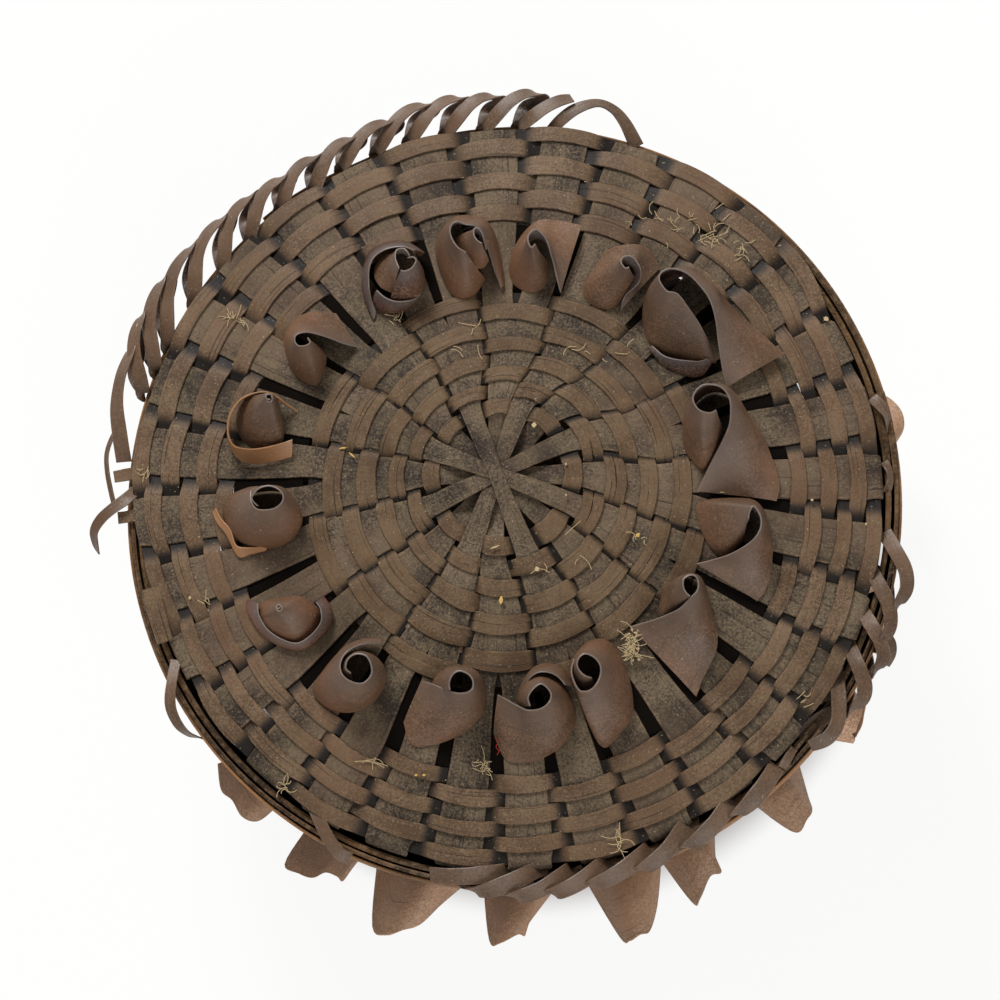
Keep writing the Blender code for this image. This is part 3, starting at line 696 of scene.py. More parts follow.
# Each sheet of the curls pairs points of its mouth's edge with points of its foot's edge: x and y in
# pixels of the photograph, and the height above the weave in millimetres. Before the pairs stand how
# many of them are rolled, while the rest is a flap, and how light the sheet is. A foot without a height
# rests on the weave.
SHEETS = (
    (7, 0.15, (
        (399, 268, 16, 392, 292, 8), (396, 260, 16, 385, 289, 8), (395.5, 253, 16, 380, 286, 8),
        (398, 249, 16, 376, 280, 8), (404, 248.5, 16, 375, 270, 8), (408, 252, 16, 380, 258, 8),
        (410, 257, 15, 392, 250, 8),
    )),
    (7, 0.3, (
        (401, 270, 16, 392, 299, 6), (405, 270.5, 16, 402, 300, 6), (410, 269, 16, 412, 298, 6),
        (414, 265, 16, 420, 293, 6), (415.8, 260, 16, 424, 280, 6), (413, 257, 16, 422, 270, 6),
        (408, 257.5, 15, 414, 261, 7),
    )),
    (9, 0.0, (
        (414, 251, 12, 420, 256, 1), (404, 247, 13, 406, 245, 1), (394, 247.5, 13, 392, 243, 1),
        (384, 250, 13, 380, 246, 1), (375, 256, 12, 370, 253, 1), (370, 265, 11, 365, 265, 1),
        (368.5, 277, 9, 363, 280, 1), (370, 293, 6, 366, 297, 1), (376, 312, 1.5, 374, 314),
    )),
    (6, 0.2, (
        (377, 290, 7, 376, 309), (385, 297, 7.5, 384, 314), (395, 301, 7.5, 392, 316),
        (405, 301, 7.5, 402, 313), (414, 299, 6.5, 410, 305), (420, 294, 5, 418, 297),
    )),
    (9, 0.1, (
        (466, 252, 15, 484, 280), (458, 248, 16, 474, 295), (453, 240, 16, 460, 299),
        (450, 231, 16, 448, 289), (452, 224, 16, 438, 262, 1), (458, 221.5, 16, 438, 240, 1),
        (466, 224, 15, 452, 222, 1), (474, 226, 14, 468, 219, 1), (481, 230, 12, 482, 222, 1.5),
        (486, 242, 9, 492, 232, 1.5), (491, 258, 6, 498, 248, 1.5), (496, 274, 4, 502, 266, 1.2),
        (501, 289, 2, 504, 286, 1),
    )),
    (9, 0.45, (
        (482, 243, 17, 487, 262, 8), (478, 241, 17, 482, 268, 8), (474.5, 236, 17, 474, 267, 8),
        (474, 230, 17, 464, 260, 8), (476, 227.5, 17, 456, 250, 9), (479, 228, 17, 454, 241, 10),
        (482, 233, 16, 463, 235, 9), (484, 240, 14, 475, 232, 8), (486, 250, 12, 486, 240, 7),
    )),
    (6, 0.3, (
        (535, 244, 16, 547, 268), (531.5, 247, 16, 544, 286), (528, 242, 16, 530, 292),
        (528.5, 235, 16, 515, 284), (535, 229.5, 16, 510, 270, 0.8), (541, 233, 15, 513, 252, 1),
        (546, 240, 13, 521, 237, 2), (550, 249, 11, 531, 226, 3), (553, 260, 8, 542, 220, 3.5),
        (556, 275, 5, 556, 221, 3), (561, 292, 2, 581, 226, 2.5),
    )),
    (7, 0.35, (
        (629, 267, 15, 634, 285), (625, 268, 15, 624, 297), (621.6, 263, 15, 610, 308),
        (622.4, 258, 15, 595, 307), (627, 255.6, 15, 584, 296), (634, 258, 15, 585, 283, 0.8),
        (639, 264, 14, 597, 266, 1), (641, 272, 12, 606, 252, 1.5), (640, 281, 9, 621, 246, 2.5),
        (634, 288, 7, 637, 245, 3), (626, 295, 4, 648, 249, 2.5), (622, 303, 2, 655, 258, 2),
        (620.5, 311, 1, 659, 269, 1.5),
    )),
    (12, 0.25, (
        (712, 350, 3, 709, 360), (706, 337, 7, 700, 361), (698, 322, 11, 686, 360), (688, 308, 15, 672, 357),
        (677, 294, 18, 659, 352), (667, 291, 19, 649, 342), (660.5, 284, 19.5, 644, 328),
        (659, 277, 19.5, 644, 314, 0.8), (663, 271, 19.5, 650, 299, 1), (672, 268.5, 19, 664, 284, 1),
        (684, 272, 18, 684, 276, 1.2), (696, 281, 17, 700, 283, 1.5), (706, 293, 16, 716, 292, 2),
        (712, 306, 14, 730, 304, 2.4), (716, 322, 11, 746, 320, 2.6), (718, 340, 8, 762, 334, 3),
        (722, 364, 5, 774, 345, 3), (727, 387, 2.5, 785, 354, 3),
    )),
    (6, 0.45, (
        (652, 346, 3, 653, 352), (662, 355, 3.5, 664, 365), (675, 359, 4, 677, 372), (689, 361, 4, 692, 377),
        (700, 361, 3.5, 703, 374), (708, 358, 3, 709, 363),
    )),
    (9, 0.45, (
        (716, 410, 17, 722, 440), (710, 413, 17.5, 716, 458), (702, 411, 18, 704, 469),
        (696, 406, 18, 692, 460), (693, 399, 18, 684, 445), (695, 392, 18, 685, 425, 0.8),
        (701, 386, 18, 694, 405, 1), (709, 384, 18, 706, 394, 1), (718, 385.5, 18, 720, 392, 1.2),
        (725, 391, 17.5, 736, 400, 1.5), (730, 400, 17, 748, 414, 2), (731, 411, 16, 758, 429, 2),
        (729, 426, 14, 767, 445, 2), (722, 442, 10, 774, 464, 1.6), (711, 463, 5, 779, 486, 1.2),
        (698, 491, 0.6, 776, 501, 0.5),
    )),
    (7, 0.05, (
        (748, 519, 13, 738, 545), (749, 513, 13.5, 722, 556), (751, 508.5, 14, 708, 542),
        (752, 507, 14, 699, 520, 0.8), (753.5, 506.5, 14, 700, 503, 1.2), (756, 508, 14, 735, 500, 1.5),
        (759, 512, 14, 752, 503, 2), (761, 519, 14, 764, 518, 2.2), (760, 529, 13, 769, 532, 2.4),
        (755, 538, 12, 772, 546, 2.4), (745, 546, 9.5, 772, 558, 2), (730, 554, 6.5, 770, 574, 1.6),
        (712, 560, 3, 765, 590, 1), (697, 564, 0.8, 757, 601, 0.5),
    )),
    (7, 0.35, (
        (690, 596, 16, 676, 612), (686, 593, 16.5, 661, 618), (683, 587, 17, 660, 604),
        (684, 579, 17, 668, 586, 0.8), (690, 575, 17, 684, 577, 1), (696, 577.5, 17, 697, 579, 1.2),
        (698.5, 584, 17, 704, 592, 1.6), (697, 591, 17, 709, 606, 2), (690, 598, 15.5, 714, 621, 2),
        (679, 609, 12.5, 717, 636, 2), (664, 616, 8.5, 716, 649, 1.8), (650, 621, 5, 710, 664, 1.4),
        (640, 624, 2.5, 702, 681, 1), (631, 627, 0.8, 696, 696, 0.5),
    )),
    (15, 0.4, (
        (592, 678, 14, 598, 690, 3), (584, 675, 15, 588, 700, 2), (577.5, 667, 15.5, 576, 690, 1.2),
        (578, 659, 16, 574, 672, 1), (585, 653.5, 16, 580, 655, 1), (594, 657, 16, 592, 643, 1),
        (600, 667, 16, 608, 643, 1), (600, 677, 16, 622, 660, 0.8), (595, 686, 15.5, 631, 690),
        (588, 691, 15, 632, 714), (581, 691, 14.5, 622, 731), (575.5, 685, 14, 604, 747),
        (572.5, 676, 13, 592, 722), (572, 667, 12, 580, 700, 0.8), (574, 659, 10, 573, 681, 1),
    )),
    (9, 0.35, (
        (530, 706, 13, 522, 704, 4), (528, 698, 14, 519, 700, 2.5), (532, 690, 15, 522, 688, 1.2),
        (540, 684, 15, 532, 679, 1), (547, 687, 15, 545, 676, 1), (551, 694, 15, 561, 684, 1),
        (549, 702, 15, 572, 702, 0.8), (543, 707.5, 14.5, 575, 722), (535, 710, 13.5, 565, 742),
        (526, 709.5, 12, 546, 756), (518, 706, 9.5, 528, 762), (509, 701, 6, 506, 759),
        (498, 695, 2, 494, 733),
    )),
    (6, 0.1, (
        (526, 686, 6, 519, 692, 1), (530, 678, 7, 525, 680, 1), (538, 672.5, 7.5, 534, 668, 1),
        (548, 672, 7.5, 548, 664, 1), (557, 676, 7, 562, 669, 1), (565, 685, 6, 571, 684, 1),
    )),
    (9, 0.4, (
        (450, 690, 14, 436, 690, 4), (450, 681, 14.5, 434, 683, 3), (453, 674, 15, 440, 674, 1.5),
        (460, 671, 15, 450, 668, 1), (468, 674, 15, 465, 667, 1), (473, 681, 15, 478, 674, 1),
        (473, 688, 15, 484, 690, 0.8), (467, 692.5, 14.5, 482, 712), (458, 693, 13.5, 469, 728),
        (448, 690.5, 12, 450, 739), (439, 687, 9.5, 430, 745), (431, 684, 6, 412, 744),
        (422, 681, 2, 404, 722),
    )),
    (13, 0.2, (
        (351, 673, 13, 356, 690, 3), (346, 668, 14, 340, 690, 2), (348, 659, 14, 335, 672, 2),
        (356, 654, 14, 352, 655, 2), (366, 656, 14, 374, 660, 2), (371, 665, 14.5, 384, 675, 0.8),
        (371, 675, 14.5, 379, 693), (363, 683, 14.5, 366, 707), (353, 682.5, 14.5, 346, 712),
        (344, 676, 14.5, 326, 707), (340, 667, 14, 314, 693, 0.8), (342, 658, 13.5, 320, 680, 1),
        (348, 651, 13, 333, 663, 1.2), (357, 646, 11, 347, 648, 1.5), (368, 643, 9, 362, 640, 1.5),
        (381, 643, 5, 382, 640, 1.5),
    )),
    (13, 0.3, (
        (280, 607.5, 10, 286, 622, 3), (277.5, 609, 10, 262, 622, 1), (277, 606, 10, 259, 610, 1),
        (279, 604.5, 10, 266, 603, 1.5), (281, 606, 10, 284, 599, 3), (282, 608, 10, 300, 597, 4),
        (281, 610, 10, 315, 605, 1.5), (279, 611, 10, 320, 617, 0.8), (277, 610, 10, 310, 634),
        (276, 608, 10, 296, 643), (276.5, 606, 9.8, 276, 638), (278, 604.5, 9.6, 263, 628, 0.7),
        (280, 604.5, 9.4, 257, 612, 1),
    )),
    (9, 0.05, (
        (258, 603, 5, 251, 604, 0.8), (259.5, 615, 4.5, 252, 615, 0.7), (268, 630, 4, 261, 630),
        (283, 640, 3.5, 276, 642), (298, 643, 3.5, 300, 648), (312, 634, 4, 318, 637),
        (321, 622, 5, 327, 624, 0.7), (321, 610, 6, 328, 611, 0.8), (316, 602, 6.5, 321, 599, 1),
    )),
    (14, 0.4, (
        (258, 506, 13, 244, 520, 4), (252, 498, 14, 228, 520, 2), (258, 489, 14.5, 234, 500, 1.2),
        (268, 486, 14.5, 256, 492, 1), (277, 488, 14.5, 280, 492, 1), (283, 495, 14.5, 293, 505, 0.8),
        (282, 502, 14.5, 300, 522), (275, 508, 14, 289, 541), (266, 510, 14, 268, 548),
        (257, 508.5, 14, 246, 545), (251.5, 502, 14, 230, 532, 0.8), (250.5, 495, 13.5, 224, 513, 1),
        (252, 490.5, 13, 229, 500, 1.2), (258, 487, 11, 243, 494, 1.4),
    )),
    (12, 0.35, (
        (270, 399, 15, 272, 420, 4), (267, 399, 15, 262, 440, 1), (266, 396, 15.5, 240, 432, 0.8),
        (268, 394, 15.5, 238, 410, 1), (271, 395, 15, 252, 399, 2), (272, 398, 15, 272, 399, 3),
        (272, 400, 14.5, 280, 420, 1.2), (270, 402, 14.5, 281, 444), (267, 401, 14.5, 262, 449),
        (265.5, 398, 14.5, 243, 440), (266, 394.5, 14.5, 236, 422, 0.8), (268.5, 393, 14, 240, 403, 1),
    )),
    (7, 0.3, (
        (308, 337.5, 14, 322, 355, 2), (310, 342, 14, 326, 362), (306, 345.5, 14, 318, 383),
        (299, 346, 14, 306, 382), (295, 342, 14, 294, 372), (295, 336.5, 14, 287, 355, 0.8),
        (300, 333, 14, 285, 342, 1), (308, 332, 13, 289, 328, 1), (318, 334, 11, 298, 318, 1.2),
        (330, 338, 8, 310, 313, 1.2), (343, 343, 5, 322, 312, 1), (357, 347, 1.5, 336, 314, 0.8),
    )),
)

# Fresh, tan sides of the splint: a strap round one curl and the torn lip of another
STRAPS = (
    (
        (285, 402, 5, 296, 411, 1), (270, 393, 9, 268, 395, 5), (255, 393, 9, 252, 396, 5),
        (240, 400, 9, 238, 402, 4.5), (230, 416, 8, 229, 417, 4), (228, 432, 7, 228, 434, 3),
        (233, 445, 6, 231, 449, 2), (246, 449, 5.5, 241, 461, 1.5), (262, 448, 5, 255, 464, 1.2),
        (278, 444.5, 4.5, 274, 461, 1.2), (292, 440, 4, 292, 456, 1.5),
    ),
    (
        (216, 508, 3, 213, 512, 2), (222, 519, 3, 218, 523, 2), (230, 530, 3, 227, 535, 1.6),
        (236, 546, 2.5, 238, 556, 1), (250, 548, 2.5, 250, 554, 1), (268, 546, 2, 266, 550, 1),
    ),
)


def above_weave(px, py, height=0.6):
    """The point that the camera sees at a pixel, at a height in millimetres above the weave."""
    point = spot(px, py, LID_EDGE + (3.0 + height) * MM)
    for _ in range(3):
        point = spot(px, py, lid_height(math.hypot(point.x, point.y)) + height * MM)
    return point


def spline_points(points, per_span):
    """A smooth line through points."""
    pts = [points[0]] + list(points) + [points[-1]]
    line = []
    for i in range(1, len(pts) - 2):
        p0, p1, p2, p3 = pts[i - 1 : i + 3]
        for k in range(per_span):
            t = k / per_span
            bend = 2 * p0 - 5 * p1 + 4 * p2 - p3
            line.append(0.5 * (2 * p1 + (p2 - p0) * t + bend * t * t + (3 * p1 - p0 - 3 * p2 + p3) * t ** 3))
    line.append(pts[-2])
    return line


def sheet_slab(book, rolled, pairs, seed, tone, wear_and_shade=0.0):
    """A sheet of a curl, ruled between its two edges and swelling outwards where it is rolled.

    One with wear is a plain strap.
    """
    per_span = 6
    upper = spline_points([above_weave(*pair[:3]) for pair in pairs], per_span)
    lower = spline_points([above_weave(*pair[3:]) for pair in pairs], per_span)
    edge = (rolled - 1) * per_span
    mouth = sum(upper[: edge + 1], Vector()) / (edge + 1)
    foot = sum(lower[: edge + 1], Vector()) / (edge + 1)
    across = 5 if wear_and_shade else 11
    grid = []
    for i, (top, low) in enumerate(zip(upper, lower)):
        weight = 0.0 if wear_and_shade else 1.0 - smooth((i - edge) / 14.0)
        row = []
        for j in range(across):
            t = j / (across - 1)
            point = low.lerp(top, t)
            outward = point - foot.lerp(mouth, t)
            outward.z = 0.0
            point = point + outward * 0.16 * math.sin(math.pi * t ** 0.72) * weight
            if not wear_and_shade:
                point.z += (1.0 - weight) * 0.9 * MM * math.sin(math.pi * t)
            point += Vector((1.0, 0.7, 0.4)) * 0.12 * MM * wobble(seed, t * 2.0, i * 0.10)
            row.append(point)
        grid.append(row)
    book.slab(grid, CURL_THICK, tone, wear_and_shade=wear_and_shade, grey=not wear_and_shade)


# Where daylight shows between the weave and the hoops
GAP_SPOT = spot(884, 560, LID_EDGE)
GAP_HEADING = math.atan2(GAP_SPOT.y, GAP_SPOT.x) % (2 * math.pi)


def lid_curls():
    book = Book()
    for i, (rolled, tone, pairs) in enumerate(SHEETS):
        sheet_slab(book, rolled, pairs, 330 + i, tone)
    for i, pairs in enumerate(STRAPS):
        sheet_slab(book, 1, pairs, 380 + i, 0.5, wear_and_shade=0.9)
    book.piece("lid_curls", CURL, "curl_splint", "lid", "lid_curl_band")

    # Painted shade: near black sheets for the dark underside of the curl splint, and for the ends of the
    # spokes in the shade of the hoops
    count = 256
    under = []
    hoop_gap_shade = []
    for i in range(count):
        angle = 2 * math.pi * i / count
        under.append([lid_point(r * MM, angle, -LIFT) for r in (54.8, 60.0, 67.0, 74.0)])
        start = (99.7 if abs(angle - GAP_HEADING) < math.radians(4.5) else 96.7) * MM
        radii = [start + (103.0 * MM - start) * k / 3 for k in range(4)]
        hoop_gap_shade.append([polar(r, angle, LID_EDGE - 8.5 * MM) for r in radii])
    book = Book()
    for grid in (under, hoop_gap_shade):
        book.slab(grid, CURL_THICK, 0.2, closed=True)
    book.piece("painted_shade_under_curls", SHADED, "curl_splint", "lid")


# Basket: uprights, rows, curls


BODY_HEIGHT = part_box("upright_1")[1][2]
STAND = 1.2 * MM
FLOOR_RADIUS = 86.0 * MM
FLOOR_KICK = 4.0 * MM
WALL_BEND = 5.0 * MM
RIM_RADIUS = FLOOR_RADIUS + WALL_BEND + 3.2 * MM
# Strips that cross under the floor, their arms, and the uprights that they fork into
FLOOR_STRIPS = 6
FLOOR_ARMS = 2 * FLOOR_STRIPS
UPRIGHTS = 2 * FLOOR_ARMS
UPRIGHT_HALF = math.radians(4.5)
BODY_FORK = 50.0 * MM
FLOOR_ROWS = 5
WALL_ROWS = 3
WALL_CURLS = 12
# How far the foot of a curl stands off the middle of the wall
CURL_FOOT = 0.9 * MM


def floor_height(radius):
    """The floor is pushed up towards its middle, so that the basket stands on a ring."""
    share = smooth((radius - 30.0 * MM) / (FLOOR_RADIUS - 34.0 * MM))
    return STAND + FLOOR_KICK * (1.0 - share)


def wall_radius(height):
    start = STAND + WALL_BEND
    share = (height - start) / (BODY_HEIGHT - start)
    return FLOOR_RADIUS + WALL_BEND + (RIM_RADIUS - FLOOR_RADIUS - WALL_BEND) * share


def body_path():
    """Radius and height along an upright, from its fork in the floor up to the rim."""
    path = []
    for k in range(18):
        radius = BODY_FORK + k * (FLOOR_RADIUS - BODY_FORK) / 17
        path.append((radius, floor_height(radius)))
    for k in range(1, 6):
        turn = math.pi / 2 * k / 6
        radius = FLOOR_RADIUS + WALL_BEND * math.sin(turn)
        path.append((radius, STAND + WALL_BEND * (1.0 - math.cos(turn))))
    low = STAND + WALL_BEND
    for k in range(19):
        height = low + (BODY_HEIGHT - low) * k / 18
        path.append((wall_radius(height), height))
    return path


def body_uprights():
    for strip in range(FLOOR_STRIPS):
        book = Book()
        for sign in (0, 1):
            heading = math.pi * strip / FLOOR_STRIPS + math.pi * sign
            grid = []
            for k in range(28):
                reach = k * 2.0 * MM
                half = max(4.2 * MM + 0.055 * reach, math.pi * reach / FLOOR_ARMS - 1.8 * MM)
                half = min(half, 13.0 * MM)
                level = (strip - (FLOOR_STRIPS - 1) / 2) * HUB_PITCH
                level *= 1.0 - smooth((reach - 13.0 * MM) / (8.0 * MM))
                row = []
                for share in ACROSS:
                    point = complex(reach, half * share) * complex(math.cos(heading), math.sin(heading))
                    row.append(Vector((point.real, point.imag, floor_height(reach) + level)))
                grid.append(row)
            book.slab(grid, SPOKE_THICK, tone_of(strip * 3 + sign + 400))
            for tine in (-1, 1):
                middle = heading + tine * math.pi / UPRIGHTS
                seed = 420 + strip * 4 + sign * 2 + (tine > 0)
                grid = []
                for i, (radius, height) in enumerate(body_path()):
                    flare = 0.55 + 0.45 * smooth((radius - BODY_FORK) / (20 * MM))
                    half = min(UPRIGHT_HALF, UPRIGHT_HALF * flare + 0.01)
                    half *= 1.0 + 0.05 * wobble(seed, i * 0.2)
                    angle = middle + 0.004 * wobble(seed + 3, i * 0.12)
                    grid.append([polar(radius, angle + half * share, height) for share in ACROSS])
                book.slab(grid, SPOKE_THICK, tone_of(seed))
        book.piece(f"upright_{strip + 1}_splint", SPOKE, "spoke_splint", "basket", f"upright_{strip + 1}")


def body_rows():
    for i in range(FLOOR_ROWS):
        node = f"floor_row_{i + 1}"
        radius = (25.0 + 13.0 * i) * MM
        outside = radius > 58.0 * MM
        crossings = UPRIGHTS if outside else FLOOR_ARMS
        turn = math.pi / UPRIGHTS if outside else 0.0
        half = UPRIGHT_HALF if outside else math.pi / FLOOR_ARMS - 0.04
        grid = []
        count = crossings * 12
        for k in range(count):
            angle = turn + 2 * math.pi * k / count
            side = weave_side(angle, crossings, turn, i, half)
            drift = 0.3 * MM * wobble(500 + i, math.cos(angle), math.sin(angle))
            radii = [radius + 4.4 * MM * share + drift for share in ROW_ACROSS]
            grid.append([polar(r, angle, floor_height(r) + LIFT * side) for r in radii])
        book = Book()
        book.slab(grid, WEAVER_THICK, tone_of(500 + i), closed=True)
        book.piece(f"{node}_splint", INNER, "weaver_splint", "basket", node)
    for i in range(WALL_ROWS):
        node = f"wall_row_{i + 1}"
        low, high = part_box(node)
        middle = (low[2] + high[2]) / 2
        book = Book()
        for k, shift in enumerate((-2.55, 2.55)):
            seed = 520 + i * 2 + k
            grid = []
            count = UPRIGHTS * 12
            for j in range(count):
                angle = 2 * math.pi * (j / count) + math.pi / UPRIGHTS
                side = weave_side(angle, UPRIGHTS, math.pi / UPRIGHTS, i + k, UPRIGHT_HALF)
                drift = 0.2 * wobble(seed, angle * 3)
                heights = [middle + (shift + 2.35 * share + drift) * MM for share in ROW_ACROSS]
                grid.append([polar(wall_radius(z) + LIFT * side, angle, z) for z in heights])
            book.slab(grid, WEAVER_THICK, tone_of(seed), closed=True)
        book.piece(f"{node}_splint", WEAVER, "weaver_splint", "basket", node)


def wall_curl(book, heading, height, seed, lean, reach):
    """A flaring curl of the wall, with the ragged end of its splint outermost."""
    outward = Vector((math.cos(heading), math.sin(heading), -0.10))
    outward.normalize()
    along = Vector((-math.sin(heading), math.cos(heading), 0.0))
    up = outward.cross(along).normalized()
    if up.z < 0:
        up.negate()
    foot = polar(wall_radius(height) + CURL_FOOT, heading, height)
    start = math.radians(200 + 60 * wobble(seed, 3.0))
    hand = 1 if wobble(seed, 9.0) > -0.2 else -1
    turns = 1.12 + 0.12 * wobble(seed, 5.0)
    steps = 38
    across = 9
    grid = []
    length = reach - wall_radius(height) - 1.0 * MM
    wide = 9.9 + 0.6 * wobble(seed, 31.0)
    for i in range(steps + 1):
        share = i / steps
        angle = start + hand * 2 * math.pi * turns * share
        grow = 1.5 * MM * turns * (share - 0.5)
        nick = max(0.0, wobble(seed + 7, share * 13.0) - 0.35) * 0.16
        slant = 0.10 * math.cos(angle + wobble(seed, 21.0) * 3.0)
        ragged = 0.93 + slant + 0.03 * wobble(seed + 17, share * 7.0) - nick
        row = []
        for j in range(across):
            t = j / (across - 1)
            radius = (wide * (1 - t) + (wide - 4.6) * t) * MM + grow * (1 - 0.35 * t)
            flat = 0.78 - 0.14 * t
            place = foot + outward * (length * t * ragged)
            place += along * (radius * math.cos(angle) + lean * t * 6.0 * MM)
            place += up * (radius * flat * math.sin(angle))
            row.append(place)
        grid.append(row)
    book.slab(grid, CURL_THICK, tone_of(seed))


# Curls that the photograph shows beyond the lid: band, heading in degrees, and the pixels of their edge
FLAPS = (
    ("upper", 227, ((218, 764), (221, 790), (233, 800), (242, 816), (256, 821), (270, 812), (280, 798))),
    ("lower", 242, (
        (306, 830), (285, 864), (300, 873), (314, 877), (326, 872), (337, 876), (342, 881), (347, 873),
        (341, 869), (350, 862), (364, 852),
    )),
    ("upper", 257, ((377, 862), (373, 925), (387, 934), (404, 929), (420, 924), (440, 905), (460, 888))),
    ("lower", 271, ((484, 888), (490, 940), (500, 943), (518, 934), (525, 935), (527, 925), (555, 888))),
    ("upper", 286, ((586, 880), (620, 937), (630, 940), (640, 934), (650, 930), (657, 905), (660, 862))),
    ("lower", 298, ((660, 860), (693, 902), (700, 898), (710, 876), (721, 872), (715, 858), (714, 832))),
    ("upper", 313, (
        (752, 802), (775, 820), (792, 831), (801, 830), (806, 820), (812, 810), (808, 796), (798, 762),
    )),
    ("lower", 8, ((884, 446), (898, 438), (904, 425), (902, 412), (890, 399), (878, 394))),
)


def flap(book, heading, middle, edge, seed):
    """A spread curl: an arched sheet from the wall out to its torn edge, rolled back at one side."""
    count = len(edge)
    upper = []
    lower = []
    for i, (px, py) in enumerate(edge):
        t = i / (count - 1)
        arch = math.sin(math.pi * t)
        upper.append(spot(px, py, middle + (8.0 * arch - 5.0) * MM))
        angle = math.radians(heading + 12.0 * (t - 0.5))
        height = middle + (7.5 * arch - 4.0) * MM
        lower.append(polar(wall_radius(height) + CURL_FOOT, angle, height))
    roll = [upper[-1].lerp(lower[-1], 0.10 * k) + Vector((0.0, 0.0, -2.6 * MM * k)) for k in (1, 2, 3)]
    mouth = spline_points(upper + roll, 5)
    foot = spline_points(lower + [lower[-1] + Vector((0.0, 0.0, -2.2 * MM * k)) for k in (1, 2, 3)], 5)
    grid = []
    for i, (top, low) in enumerate(zip(mouth, foot)):
        row = []
        for j in range(11):
            t = j / 10
            point = low.lerp(top, t)
            point.z += 2.6 * MM * math.sin(math.pi * t) * math.sin(math.pi * i / (len(mouth) - 1))
            point += Vector((0.6, 0.4, 1.0)) * 0.3 * MM * wobble(seed, t * 2.0, i * 0.12)
            row.append(point)
        grid.append(row)
    book.slab(grid, CURL_THICK, tone_of(seed))


def curl_reach(heading):
    """How far the curls stand out: those at two places are crushed and stay under the hoops."""
    away = abs((heading - 35.0 + 180.0) % 360.0 - 180.0)
    away = min(away, 20.0 + abs((heading - 202.0 + 180.0) % 360.0 - 180.0))
    return (104.0 + 7.5 * smooth((away - 45.0) / 40.0)) * MM


def body_curls():
    for name, first in (("lower", 0), ("upper", 15)):
        node = f"{name}_curl_band"
        low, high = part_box(node)
        middle = (low[2] + high[2]) / 2
        book = Book()
        shown = [heading for band, heading, _ in FLAPS if band == name]
        for k in range(WALL_CURLS):
            heading = 360 / WALL_CURLS * k + first
            if any(abs((heading - other + 180) % 360 - 180) < 10 for other in shown):
                continue
            seed = 560 + k + (40 if name == "upper" else 0)
            lean = 0.6 * wobble(seed, 1.0)
            wall_curl(book, math.radians(heading), middle, seed, lean, curl_reach(heading))
        for i, (band, heading, edge) in enumerate(FLAPS):
            if band == name:
                flap(book, heading, middle, edge, 640 + i)
        # The band round the wall, given a tone below 0 for painted shade
        heights = [middle + 7.4 * MM * share for share in ACROSS]
        grid = []
        count = 192
        for j in range(count):
            angle = 2 * math.pi * j / count
            grid.append([polar(wall_radius(height) - LIFT, angle, height) for height in heights])
        book.slab(grid, CURL_THICK, -0.16, closed=True)
        book.piece(f"{name}_curls", WALL_CURL_PAINTED_LIGHT, "curl_splint", "basket", node)


# Hoops and lashings


def ring_slab(book, radius, low, high, thick, seed, sway=0.0, spin=0.0, bare=0.0):
    """A bent hoop, with its scarfed ends side by side. bare is how far its fresh wood shows."""
    count = 180
    grid = []
    wear_and_shade = []
    for i in range(count + 9):
        angle = spin + 2 * math.pi * i / count
        off = sway * MM * wobble(seed, math.cos(angle) * 1.2, math.sin(angle) * 1.2)
        r = radius + off + (0.9 * MM if i >= count else 0.0) * smooth((i - count) / 6.0)
        drop = 0.35 * MM * wobble(seed + 4, math.cos(angle) * 1.6, math.sin(angle) * 1.6)
        heights = [low + (high - low) * share + drop for share in (0.0, 0.35, 0.7, 1.0)]
        grid.append([polar(r, angle, height) for height in heights])
        wear_and_shade.append(bare * (0.6 + 0.5 * wobble(seed + 8, i * 0.08)))
    book.slab(grid, thick, tone_of(seed), wear_and_shade=wear_and_shade)


def hoops():
    for node in ("lid_inner_hoop", "lid_outer_hoop"):
        low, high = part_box(node)
        radius = (high[0] - low[0]) / 2 - 0.75 * MM
        book = Book()
        if node == "lid_outer_hoop":
            bottom = low[2] + 1.2 * MM
            top = high[2] - 0.9 * MM
            ring_slab(book, radius - 0.55 * MM, low[2], high[2], 1.1 * MM, 601, 0.25)
            ring_slab(book, radius + 0.55 * MM, bottom, top, 0.8 * MM, 602, 0.3, 2.0, 0.75)
        else:
            ring_slab(book, radius, low[2], high[2], 1.5 * MM, 603, 0.2)
        book.piece(f"{node}_splint", HOOP, "hoop_splint", "lid", node)
    for node in ("rim_inner_hoop", "rim_outer_hoop"):
        low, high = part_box(node)
        radius = (high[0] - low[0]) / 2 - 0.8 * MM
        book = Book()
        ring_slab(book, radius, low[2], high[2], 1.1 * MM, 605 + len(node), 0.15)
        book.piece(f"{node}_splint", HOOP, "hoop_splint", "basket", node)


def rim_winding(book, seed):
    """A ribbon wound round the hoops of the rim, which gains 0.6 of its pitch over the top."""
    low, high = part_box("rim_lashing")
    inner = high[0] / MM - 6.0
    outer = high[0] / MM - 0.3
    bottom = low[2] / MM + 0.3
    top = high[2] / MM - 0.3
    loops = 60
    steps = 28
    path = []
    for i in range(loops):
        for k in range(steps):
            t = k / steps
            phi = math.pi * (1.0 - 2.0 * t)
            gone = 0.6 * smooth(t / 0.62) + 0.4 * smooth((t - 0.62) / 0.38)
            radius = ((inner + outer) / 2 + (outer - inner) / 2 * math.cos(phi)) * MM
            height = ((bottom + top) / 2 + (top - bottom) / 2 * math.sin(phi)) * MM
            angle = -2 * math.pi / loops * (i + gone) + 0.007 * wobble(seed, (i + t) * 1.3)
            path.append((polar(radius, angle, height), polar(math.cos(phi), angle, math.sin(phi))))
    ribbon(book, path, 3.6 * MM, CURL_THICK, seed)


